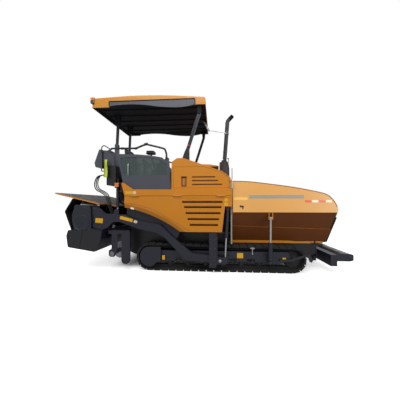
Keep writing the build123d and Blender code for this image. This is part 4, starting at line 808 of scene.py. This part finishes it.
# rubber flap along the front edge of the sloping floor
(kneeY, kneeZ), (footY, footZ) = wallLook["knee"], wallLook["foot"]
slope = np.array((0, footY - kneeY, kneeZ - footZ))
(x0, x1), (low, high) = flapLook["x"], flapLook["share"]
flap = Shape().plate(softRectangle(x1 - x0, math.hypot(*slope[1:]) * (high - low), flapLook["radius"]),
                     np.array(((x0 + x1) / 2, -footY, footZ)) + slope * (low + high) / 2, forward, slope,
                     flapLook["thick"] / 2, back=-flapLook["thick"])

# bead along the top edge of the wall, brown: the orange bead's painted shade
edge = softPath([(x, 0, h) for x, h in trimLook["rim"]], 3)
edge = onWall(edge[:, 0], edge[:, 2]).T + (0, 0.001, 0)
bead = Shape().bar(edge, beadRadius, leftward, 10)

for side, word in hands:
    body = "wing_" + word
    stripe = wallPlate(Shape(), side, *trimLook["stripe"], 0.004)
    stripe.made("hopperStripe_" + word, bandGrey, body, "grey_paint")
    patch = wallPlate(Shape(), side, *trimLook["patch"], 0.006)
    patch.made("hopperPatch_" + word, patchYellow, body, "orange_paint")
    for start, finish, tone in ((0, tapeRed, "Red"), (1, tapeWhite, "White")):
        tape = Shape()
        for x0, x1 in trimLook["tape"][start::2]:
            wallPlate(tape, side, x0, x1, *trimLook["tapeHeight"], 0.004)
        tape.made("hopperTape" + tone + "_" + word, finish, body, "orange_paint")
    x, h = trimLook["latch"]
    latch = Shape()
    for x0, x1, h0, h1, radius, thick, turn in latchRows:
        wallPlate(latch, side, x + x0, x + x1, h + h0, h + h1, radius, thick, turn)
    latch.made("hopperLatch_" + word, knobBlack, body, "dark_paint")
    flap.madeOn(side, word, "hopperFlap", rubberBlack, "wing_", "track_rubber")
    bead.madeOn(side, word, "hopperBead", beadPaintedShade, "wing_", "orange_paint")
print("the hopper has its trim")

# blank labels: name, body, finish, place (x, |y|, z), width, height, tilt in degrees
labelRows = (
    ("doorLabelHigh", "side_door_", labelYellow, (0.612, 1.245, 1.598), 0.078, 0.072, 0),
    ("doorLabelLow", "side_door_", labelYellow, (0.612, 1.245, 1.500), 0.078, 0.072, 0),
    ("sillLabel", "machine", labelYellow, (-1.535, 1.250, 1.757), 0.165, 0.062, 0),
    ("sillLabelPale", "machine", labelPale, (-1.410, 1.250, 1.757), 0.070, 0.062, 0),
    ("armLabel", "screed", labelYellow, (-1.615, 1.200, 1.168), 0.300, 0.072, 14),
    ("armLabelPale", "screed", labelPale, (-1.404, 1.200, 1.108), 0.078, 0.060, 14),
    ("screedLabel", "screed", labelYellow, (-2.250, 1.200, 1.128), 0.175, 0.105, 4),
    ("frameLabelRear", "machine", labelYellow, (-0.782, 1.1241, 0.303), 0.062, 0.100, 0),
    ("frameLabelMiddle", "machine", labelYellow, (0.927, 1.074, 0.362), 0.135, 0.115, 0),
    ("frameLabelFront", "machine", labelYellow, (1.880, 1.074, 0.290), 0.075, 0.082, 0),
)
labelLook = dict(radius=0.008, thick=0.0012)
for name, body, finish, (x, y, z), width, height, tilt in labelRows:
    angle = math.radians(tilt)
    label = Shape().plate(softRectangle(width, height, labelLook["radius"]), (x, -y, z),
                          (math.cos(angle), 0, -math.sin(angle)), (math.sin(angle), 0, math.cos(angle)),
                          labelLook["thick"], back=-0.0005)
    label.madeTwice(name, finish, body, "orange_paint")
# the pale label on the lip of the arch, which leans out and slopes to the front
lipLook = dict(place=(-1.460, -1.2345, 1.420), size=(0.085, 0.070), along=(0.97, 0, -0.24),
               up=(0, 0.032, 0.082))
lipLabel = Shape().plate(softRectangle(*lipLook["size"], labelLook["radius"]), lipLook["place"],
                         lipLook["along"], lipLook["up"], labelLook["thick"], back=-0.002)
lipLabel.madeTwice("lipLabel", labelPale, "side_door_", "orange_paint")

# hexagon bolts on washers: name, body, |y| of the face, bolt radius, places (x, z)
boltRows = (
    ("columnBolts", "machine", 1.248, 0.009,
     [(x, z) for x in (0.283, 0.367) for z in (0.200, 0.355, 0.548, 0.740)]),
    ("frameBolts", "machine", 1.074, 0.008, [(x, 0.425) for x in np.arange(-0.75, 1.75, 0.25)]),
    ("armBolts", "screed", 1.200, 0.010, [(-2.37, 1.40), (-2.37, 1.02), (-2.22, 1.37), (-2.24, 0.985)]),
    ("endBolts", "screed", 1.268, 0.008,
     [(-2.86, 0.66), (-2.62, 0.56), (-2.40, 0.52), (-2.86, 0.82), (-2.34, 0.70)]),
)
for name, body, y, radius, places in boltRows:
    washer = [(-0.001, radius * 1.5), (0.0025, radius * 1.5), (0.003, radius * 1.35)]
    head = [(0.0025, radius), (radius * 0.75, radius), (radius * 0.9, radius * 0.85)]
    bolts = Shape()
    for x, z in places:
        bolts.turned(washer, (x, y, z), leftward, 16).turned(head, (x, y, z), leftward, 6)
    bolts.mirrored().made(name, boltGrey, body, "worn_steel")
print("labels and bolts are on")

# screed ends: a cover plate with a round boss, and a guide bar above it
screedLook = dict(panel=((-2.855, 1.478), (-2.430, 1.420), (-2.395, 0.960), (-2.480, 0.905), (-2.860, 0.912)),
                  boss=(-2.640, -1.246, 1.075), bossRadius=0.190,
                  bar=((-2.700, 1.18, 1.492), (-2.475, 1.18, 1.481), (-2.250, 1.18, 1.470)), barRadius=0.014)
r = screedLook["bossRadius"]
bossProfile = ((0.0, r), (0.010, r), (0.013, r * 0.97), (0.013, r * 0.88), (0.009, r * 0.86), (0.009, 0.03),
               (0.016, 0.028), (0.017, 0.012))
covers = Shape().sidePlate(softPolygon(screedLook["panel"]), (0, -1.245, 0), 0.004, 0.001, -0.002)
covers.turned(bossProfile, screedLook["boss"], -leftward, 48)
covers.mirrored().made("screedEndCovers", paints["slateBlue"], "screed", "slate_paint")
guides = Shape().bar(screedLook["bar"], screedLook["barRadius"], leftward, 16)
guides.mirrored().made("screedGuideBars", zincPlate, "screed", "worn_steel")
print("the screed is dressed")

# painted shade: dark and brown sheets behind the louvres, and on the floor and roof of the handles' pockets
# name, body, finish, |y|, thickness, outline (x, z)
paintedShadeRows = (
    ("louvrePaintedShade", "side_door_", rubberBlack, 1.2065, 0.002,
     ((-0.36, 1.010), (0.50, 1.010), (0.555, 1.600), (-0.36, 1.600))),
    ("hoodSlotPaintedShade", "hood_door_", slotPaintedShade, 1.1700, 0.002,
     ((-0.15, 1.905), (0.56, 1.905), (0.47, 2.125), (-0.15, 2.125))),
    ("pocketFloorPaintedShade", "hood_door_", slotPaintedShade, 1.1835, 0.002,
     ((-0.371, 1.882), (-0.250, 1.882), (-0.250, 2.113), (-0.371, 2.113))),
    ("pocketRoofPaintedShade", "hood_door_", knobBlack, 1.1860, 0.004,
     ((-0.371, 2.082), (-0.250, 2.082), (-0.250, 2.113), (-0.371, 2.113))),
)
for name, body, finish, y, thick, corners in paintedShadeRows:
    shade = Shape().sidePlate(softPolygon(corners, 0.06), (0, -y, 0), thick, 0.0005)
    shade.madeTwice(name, finish, body, "dark_paint")

# bead along the arch of the side door, brown: the orange bead's painted shade
archLook = dict(y=-1.2505, radius=0.005,
                line=((-1.625, 1.527), (-1.393, 1.505), (-1.080, 1.418), (-0.858, 1.320), (-0.637, 1.191),
                      (-0.418, 1.063), (-0.190, 0.925)))
line = softPath([(x, archLook["y"], z) for x, z in archLook["line"]], 3)
arch = Shape().bar(line, archLook["radius"], leftward, 8)
arch.madeTwice("archBead", beadPaintedShade, "side_door_", "orange_paint")

# painted shadow: a black sheet in the corner under the hood lid's front end
lidShadowOutline = ((0.245, 2.366), (0.442, 2.290), (0.459, 2.369))
wedge = Shape().sidePlate(softPolygon(lidShadowOutline, 0.08), (0, -0.9795, 0), 0.003, 0.0005)
wedge.mirrored().made("hoodLidPaintedShadow", rubberBlack, "machine", "dark_paint")

# rear lamps: a turn lamp that wraps the canopy's corner, proud of its side and end, and a round work lamp
lampLook = dict(turn=(-2.518, -1.000, 3.982), turnSize=(0.090, 0.078), border=0.012, canopySide=1.050,
                lensProud=0.026, shellProud=0.008, round=(-2.512, -1.000, 3.905), lensOut=0.034,
                shell=((0.0, 0.040), (0.056, 0.040), (0.068, 0.046), (0.074, 0.046), (0.076, 0.042),
                       (0.070, 0.039)),
                lens=((0.034, 0.0375), (0.037, 0.036), (0.040, 0.025), (0.041, 0.010)))
wide, high = lampLook["turnSize"]
depth = lampLook["canopySide"] + lampLook["turn"][1]
block = softRectangle(wide, high, 0.016)
lenses = Shape().sidePlate(block, lampLook["turn"], depth + lampLook["lensProud"], 0.008)
border = softRectangle(wide + lampLook["border"], high + lampLook["border"], 0.018)
shells = Shape().sidePlate(border, lampLook["turn"], depth + lampLook["shellProud"], 0.002)
shells.turned(lampLook["shell"], lampLook["round"], -leftward, 28)
shells.mirrored().made("rearLampShells", knobBlack, "canopy", "moulded_grey")
lenses.mirrored().made("rearTurnLenses", finishes["lamp_orange"], "canopy", "lamp_orange")
workLens = Shape().turned(lampLook["lens"], lampLook["round"] - leftward * lampLook["lensOut"], -leftward, 28)
workLens.mirrored().made("rearWorkLenses", finishes["window_tint"], "canopy", "window_tint")

# rubber edging round the grey band on each side of the canopy
edgingLook = dict(y=-1.0505, radius=0.009,
                  line=((-2.114, 3.812), (-2.114, 3.885), (-2.112, 3.918), (-2.080, 3.920), (-0.115, 3.920),
                        (-0.081, 3.918), (-0.079, 3.885), (-0.079, 3.790)))
line = softPath([(x, edgingLook["y"], z) for x, z in edgingLook["line"]])
edging = Shape().bar(line, edgingLook["radius"], leftward, 8)
edging.mirrored().made("canopyEdging", rubberBlack, "canopy", "track_rubber")

# red clamp knobs on the front posts: a place on the post, and how far up along it they sit
knobLook = dict(post=(-0.263, 0.975, 2.76), lean=(0.275, 0, 0.861), up=0.095,
                profile=((0.0, 0.008), (0.018, 0.008), (0.020, 0.018), (0.026, 0.022), (0.036, 0.022),
                         (0.041, 0.016), (0.043, 0.006)))
knobPlace = knobLook["post"] + unit(knobLook["lean"]) * knobLook["up"]
knobs = Shape().turned(knobLook["profile"], knobPlace, leftward, 24)
knobs.mirrored().made("postKnobs", knobRed, "front_posts", "lamp_orange")

# collars and joints along the handrails, and flanges at their feet: place (x, z), direction, radius, length
clampRows = (((-1.236, 2.905), (-0.93, 0, -0.24), 0.030, 0.085),
             ((-1.476, 2.812), (-0.95, 0, -0.2), 0.028, 0.060),
             ((-1.800, 2.815), forward, 0.028, 0.060),
             ((-0.749, 1.819), upward, 0.040, 0.030),
             ((-0.749, 2.560), upward, 0.027, 0.050))
clamps = Shape()
for (x, z), along, radius, length in clampRows:
    half = length / 2
    clamps.turned([(-half, radius * 0.82), (-half * 0.9, radius), (-0.002, radius), (0, radius * 0.93),
                   (0.002, radius), (half * 0.9, radius), (half, radius * 0.82)], (x, 1.0, z), along, 20)
clamps.mirrored().made("railClamps", knobBlack, "machine", "moulded_grey")

# caps on the tow pins, and breathers on the track frames
# name, finish, body, slot, place, direction, sides, profile of (distance, radius)
capRows = (
    ("towPinCaps", zincPlate, "tow_points", "worn_steel", (0.481, 1.248, 0.280), leftward, 24,
     ((-0.004, 0.030), (0.006, 0.030), (0.010, 0.024), (0.010, 0.012), (0.014, 0.010))),
    ("frameBreathers", zincPlate, "machine", "worn_steel", (1.193, 1.088, 0.400), upward, 28,
     ((-0.004, 0.016), (0.0, 0.010), (0.115, 0.010), (0.118, 0.020), (0.122, 0.055), (0.140, 0.058),
      (0.150, 0.046), (0.153, 0.020))),
)
for name, finish, body, slotName, place, out, sides, profile in capRows:
    Shape().turned(profile, place, out, sides).mirrored().made(name, finish, body, slotName)
print("lamps, knobs and caps are on")

# bright strap on the rear frame: a sheet that hangs from top to low, waisted and swaying a little
strapLook = dict(top=(-2.175, 2.545), low=(-2.176, 2.130), y=-1.058, width=0.092, length=0.425, sway=0.006,
                 waist=0.12, twist=0.01, thick=0.002, weaves=5.6)


# the strap's places: across and down are shares of its width and length; waves of sine draw in its edges,
# sway it out and in, and twist it
def strapPlaces(across, down):
    (x0, z0), (x1, z1) = strapLook["top"], strapLook["low"]
    waist = 1 - strapLook["waist"] * np.sin(down * 5.1)
    out = strapLook["sway"] * np.sin(down * 7.5) + strapLook["twist"] * across * np.sin(down * 9)
    return np.stack([x0 + (x1 - x0) * down + across * strapLook["width"] * waist, strapLook["y"] - out,
                     z0 + (z1 - z0) * down], -1)


across, down = np.meshgrid(np.linspace(-0.5, 0.5, 5), np.linspace(0, 1, 40))
strapMesh = bpy.data.meshes.new("brightStrap")
strapMesh.from_pydata(strapPlaces(across, down).reshape(-1, 3).tolist(), [],
                      gridFaces(*down.shape, closed=False).tolist())
corners = np.empty(len(strapMesh.loops), dtype=np.int32)
strapMesh.loops.foreach_get("vertex_index", corners)
weaveMap = np.stack([(across + 0.5).ravel(), (down * strapLook["weaves"]).ravel()], -1)[corners]
strapMesh.uv_layers.new(name="weaveMap").data.foreach_set("uv", weaveMap.ravel())
strapMesh.materials.append(webbing)
strapMesh.shade_smooth()
strap = bpy.data.objects.new("brightStrap", strapMesh)
bpy.context.collection.objects.link(strap)
thickness = strap.modifiers.new("webbing", "SOLIDIFY")
thickness.thickness = strapLook["thick"]
thickness.offset = 0.0
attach(strap, "machine")
print("the strap hangs")

# control levers: a pleated boot, a stick and a knob each
leverLook = dict(x=-1.02, rows=(-0.30, -0.22, 0.22, 0.30), foot=2.585, lean=(-0.2, 0, 1))
# name, finish, slot, sides, profile of (distance up the lever, radius)
leverRows = (
    ("leverBoots", rubberBlack, "moulded_grey", 20,
     ((0.0, 0.030), (0.006, 0.030), (0.010, 0.022), (0.016, 0.024), (0.022, 0.018), (0.028, 0.019),
      (0.034, 0.012))),
    ("leverSticks", zincPlate, "rod_chrome", 12, ((0.02, 0.006), (0.12, 0.006), (0.121, 0.004))),
    ("leverKnobs", knobBlack, "moulded_grey", 20,
     ((0.115, 0.008), (0.120, 0.016), (0.140, 0.021), (0.158, 0.018), (0.166, 0.008))),
)
for name, finish, slotName, sides, profile in leverRows:
    levers = Shape()
    for y in leverLook["rows"]:
        levers.turned(profile, (leverLook["x"], y, leverLook["foot"]), leverLook["lean"], sides)
    levers.made(name, finish, "machine", slotName)

# display: a case that leans back on a stalk, and its glass
displayLook = dict(case=(-0.955, 0, 2.700), caseSize=(0.30, 0.20), thick=0.045, lean=(0.25, 0, 1),
                   glass=(-0.9985, 0, 2.6915), glassSize=(0.26, 0.16),
                   stalk=(-0.965, 0, 2.56), stalkLean=(0.1, 0, 1),
                   stalkProfile=((0.0, 0.02), (0.08, 0.018), (0.10, 0.018)))
case = Shape().plate(softRectangle(*displayLook["caseSize"], 0.02), displayLook["case"], -leftward,
                     displayLook["lean"], displayLook["thick"], 0.006)
case.turned(displayLook["stalkProfile"], displayLook["stalk"], displayLook["stalkLean"], 16)
case.made("screenCase", knobBlack, "machine", "moulded_grey")
glass = Shape().plate(softRectangle(*displayLook["glassSize"], 0.008), displayLook["glass"], -leftward,
                      displayLook["lean"], 0.0025, 0.0005)
glass.made("screenFace", display, "machine", "window_tint")

# control pods that reach forward beside each seat: a box on a bent stem, and a bar from its foot inwards
podLook = dict(rows=(-0.62, 0.62), box=(-1.235, 2.760), size=(0.22, 0.20), corner=0.05, thick=0.07,
               bevel=0.02, barRadius=0.022,
               stem=((-1.10, 2.30), (-1.16, 2.50), (-1.22, 2.66), (-1.235, 2.775)),
               inward=((-1.10, 1.0), (-1.06, 0.9), (-1.02, 0.62)), inwardHeight=2.31)
pods = Shape()
podOutline = softRectangle(*podLook["size"], podLook["corner"])
for y in podLook["rows"]:
    x, z = podLook["box"]
    pods.plate(podOutline, (x, y, z), forward, leftward, podLook["thick"], podLook["bevel"])
    stem = softPath([(x, y, z) for x, z in podLook["stem"]])
    inward = softPath([(x, y * share, podLook["inwardHeight"]) for x, share in podLook["inward"]])
    pods.bar(stem, podLook["barRadius"], leftward, 14).bar(inward, podLook["barRadius"], upward, 14)
pods.made("controlPods", knobBlack, "machine", "moulded_grey")
print("the console has its controls")

# exhaust: dark clamps along the pipe, by distance and radius, and a domed oval shield over the muffler
pipeLook = dict(foot=(0.649, 0.1, 2.795), lean=(0.078, 0, 1.024),
                bands=((0.16, 0.059), (0.672, 0.060), (0.96, 0.059)))
pipeUp = unit(pipeLook["lean"])
bands = Shape()
for distance, radius in pipeLook["bands"]:
    bands.turned([(-0.018, radius - 0.003), (-0.016, radius), (0.016, radius), (0.018, radius - 0.003)],
                 pipeLook["foot"] + pipeUp * distance, pipeUp, 40)
bands.made("exhaustClamps", boltGrey, "exhaust_pipe", "worn_steel")
shieldLook = dict(foot=(0.650, 0.1, 2.080), oval=(1.0, 0.85, 1.0),
                  profile=((0.0, 0.128), (0.36, 0.128), (0.48, 0.118), (0.56, 0.098), (0.605, 0.074),
                           (0.612, 0.066), (0.612, 0.060), (0.56, 0.090)))
shield = turnedRings(shieldLook["profile"], (0, 0, 0), upward, 48) * shieldLook["oval"] + shieldLook["foot"]
Shape().rings(shield, False).made("mufflerShield", finishes["exhaust_steel"], "machine", "exhaust_steel")

# damper lever: a bent rod with a pin at its top
damperLook = dict(rod=((0.690, -0.02, 2.560), (0.748, -0.02, 2.620), (0.735, -0.02, 2.735)), rodRadius=0.008,
                  pin=(0.735, -0.02, 2.745),
                  pinProfile=((-0.020, 0.010), (-0.014, 0.020), (0.014, 0.020), (0.020, 0.010)))
damper = Shape().bar(softPath(damperLook["rod"]), damperLook["rodRadius"], leftward, 10)
damper.turned(damperLook["pinProfile"], damperLook["pin"], forward, 18)
damper.made("dampLever", knobBlack, "machine", "moulded_grey")

# pale posts on the bulkhead, and grab bars on the screens
postLook = dict(path=((0.745, -1.185, 2.040), (0.745, -1.185, 2.160), (0.745, -1.185, 2.290)), radius=0.009,
                tone=rgb(0.55, 0.54, 0.48))
posts = Shape().bar(postLook["path"], postLook["radius"], leftward, 10)
posts.mirrored().made("bulkheadPosts", printedFilm("postCream", postLook["tone"]), "machine", "grey_paint")
grabLook = dict(path=((-1.590, -1.160, 2.150), (-1.590, -1.182, 2.165), (-1.590, -1.182, 2.400),
                      (-1.590, -1.160, 2.415)), radius=0.008)
grabs = Shape().bar(softPath(grabLook["path"]), grabLook["radius"], forward, 10)
grabs.mirrored().made("screenGrabs", zincPlate, "machine", "rod_chrome")

# painted shade: dark sheets behind the lifting columns
columnShadeOutline = ((0.48, 0.98), (0.66, 0.98), (0.66, 1.52), (0.48, 1.52))
columnShadeSheet = Shape().sidePlate(softPolygon(columnShadeOutline, 0.05), (0, -1.040, 0), 0.003, 0.0006)
columnShadeSheet.mirrored().made("columnPaintedShade", rubberBlack, "machine", "dark_paint")

# valve blocks behind the platform: a block with a row of spools and a row of hexagon unions down its side,
# and a bent pipe from each union, each a little further out than the one below
valveLook = dict(y=(-0.86, -0.72), body=((-2.000, 1.560), (-1.715, 1.560), (-1.715, 1.960), (-2.000, 1.960)),
                 rows=(1.66, 1.72, 1.78, 1.84, 1.90), spoolX=-1.760, unionX=-1.850,
                 spool=((0.0, 0.022), (0.02, 0.022), (0.024, 0.016), (0.060, 0.016), (0.064, 0.010)),
                 union=((0.0, 0.020), (0.03, 0.020), (0.034, 0.014), (0.050, 0.014)),
                 pipeRadius=0.010, out=0.045, outStep=0.004, rearStep=0.02)
outer, inner = valveLook["y"]
valves = Shape().sidePlate(softPolygon(valveLook["body"], 0.05), (0, inner, 0), inner - outer, 0.006)
pipes = Shape()
for number, z in enumerate(valveLook["rows"]):
    valves.turned(valveLook["spool"], (valveLook["spoolX"], outer, z), -leftward, 20)
    valves.turned(valveLook["union"], (valveLook["unionX"], outer, z), -leftward, 6)
    y = outer - valveLook["out"] - number * valveLook["outStep"]
    rear = number * valveLook["rearStep"]
    pipe = [(valveLook["unionX"], -0.90, z), (valveLook["unionX"], y, z - 0.01), (-1.905 - rear, y, z - 0.05),
            (-1.925 - rear, -0.84, 1.56), (-1.80 - rear, -0.80, 1.50), (-1.74, -0.78, 1.45)]
    pipes.bar(softPath(pipe, 3), valveLook["pipeRadius"], (0.3, 0.2, 1), 10)
valves.mirrored().made("valveBlocks", paints["chassisBlack"], "machine", "dark_paint")
pipes.mirrored().made("valvePipes", pipeBlack, "machine", "dark_paint")

# caps on the push rollers
rollerLook = dict(place=(3.239, 1.09, 0.362),
                  profile=((-0.004, 0.034), (0.005, 0.034), (0.009, 0.028), (0.009, 0.014), (0.013, 0.012)))
rollerCaps = Shape().turned(rollerLook["profile"], rollerLook["place"], leftward, 24)
rollerCaps.mirrored().made("rollerCaps", paints["slateBlue"], "push_beam", "slate_paint")
print("shields, levers, valves and roller caps are on")

# the floor: white to the eye and to gloss, with the paver's shadow on it, and dull to bounced light;
# the area under the machine, from x to x and y to y with soft edges, glows less: a painted shadow
floorLook = dict(reach=60.0, level=-0.002, glow=0.55, glossShare=0.3, white=(0.80, 0.84),
                 dull=(0.09, 0.09, 0.095, 1), underShadowTone=0.02,
                 underX=((-2.3, -1.7), (2.62, 2.2)), underY=((-0.95, -0.65), (1.1, 0.8)))


# a grey from black, 0, to white, 1
def grey(share):
    return (share, share, share, 1)


floorSkin = Skin("floorWhite", roughness=0.95)
speck = floorSkin.cloud(30, 3)
floorSkin.feed("Base Color", floorSkin.blend(speck, *map(grey, floorLook["white"])))
under = 1.0
for axis in "XY":
    along = floorSkin.axis(axis)
    for start, end in floorLook["under" + axis]:
        under = floorSkin.step(along, start, end) * under
# painted shadow: less glow under the machine
floorSkin.feed("Emission Color", floorSkin.blend(under, grey(1), grey(floorLook["underShadowTone"])))
floorSkin.shader.inputs["Emission Strength"].default_value = floorLook["glow"]
dull = floorSkin.add("ShaderNodeBsdfDiffuse", None, {"Color": floorLook["dull"]})
eyeRay = floorSkin.add("ShaderNodeLightPath", out="Is Camera Ray")
glossRay = floorSkin.add("ShaderNodeLightPath", out="Is Glossy Ray")
throughRay = floorSkin.add("ShaderNodeLightPath", out="Is Transmission Ray")
lively = Flow(floorSkin, floorSkin.shader.outputs[0])
either = floorSkin.add("ShaderNodeMixShader", None,
                       {0: eyeRay + glossRay * floorLook["glossShare"] + throughRay, 1: dull, 2: lively})
floorSkin.tree.links.new(either.socket, floorSkin.tree.nodes["Material Output"].inputs["Surface"])
far, level = floorLook["reach"], floorLook["level"]
floorMesh = bpy.data.meshes.new("studioFloor")
floorMesh.from_pydata([(-far, -far, level), (far, -far, level), (far, far, level), (-far, far, level)], [],
                      [(0, 1, 2, 3)])
floorMesh.materials.append(floorSkin.material)
floor = bpy.data.objects.new("studioFloor", floorMesh)
bpy.context.collection.objects.link(floor)

# the air: white, softer as light than it is to the eye
airLook = dict(light=0.62, eye=1.0)
world = bpy.data.worlds.new("studioAir")
scene.world = world
world.use_nodes = True
air = world.node_tree
backgrounds = [air.nodes["Background"], air.nodes.new("ShaderNodeBackground")]
mixed = air.nodes.new("ShaderNodeMixShader")
for socket, (background, strength) in enumerate(zip(backgrounds, (airLook["light"], airLook["eye"]))):
    background.inputs["Color"].default_value = grey(1)
    background.inputs["Strength"].default_value = strength
    air.links.new(background.outputs[0], mixed.inputs[socket + 1])
path = air.nodes.new("ShaderNodeLightPath")
air.links.new(path.outputs["Is Camera Ray"], mixed.inputs[0])
air.links.new(mixed.outputs[0], air.nodes["World Output"].inputs["Surface"])

# soft square lamps: name, place, aim, size, watts
lampRows = (
    ("skySoft", (-1.0, -5.5, 9.5), (0.0, 0.0, 1.2), 7.0, 620.0),
    ("frontSoft", (8.0, -7.0, 5.0), (0.5, 0.0, 1.0), 4.0, 260.0),
    ("rearRim", (-9.0, 4.0, 6.0), (0.0, 0.0, 1.5), 4.0, 260.0),
)
for name, place, aim, size, watts in lampRows:
    light = bpy.data.lights.new(name, "AREA")
    light.size = size
    light.energy = watts
    lamp = bpy.data.objects.new(name, light)
    lamp.location = place
    x, y, z = np.array(place) - np.array(aim)    # away from the aim; a lamp shines down its own z
    lamp.rotation_euler = (math.atan2(math.hypot(x, y), z), 0, math.atan2(x, -y))
    bpy.context.collection.objects.link(lamp)

print("lit and framed")
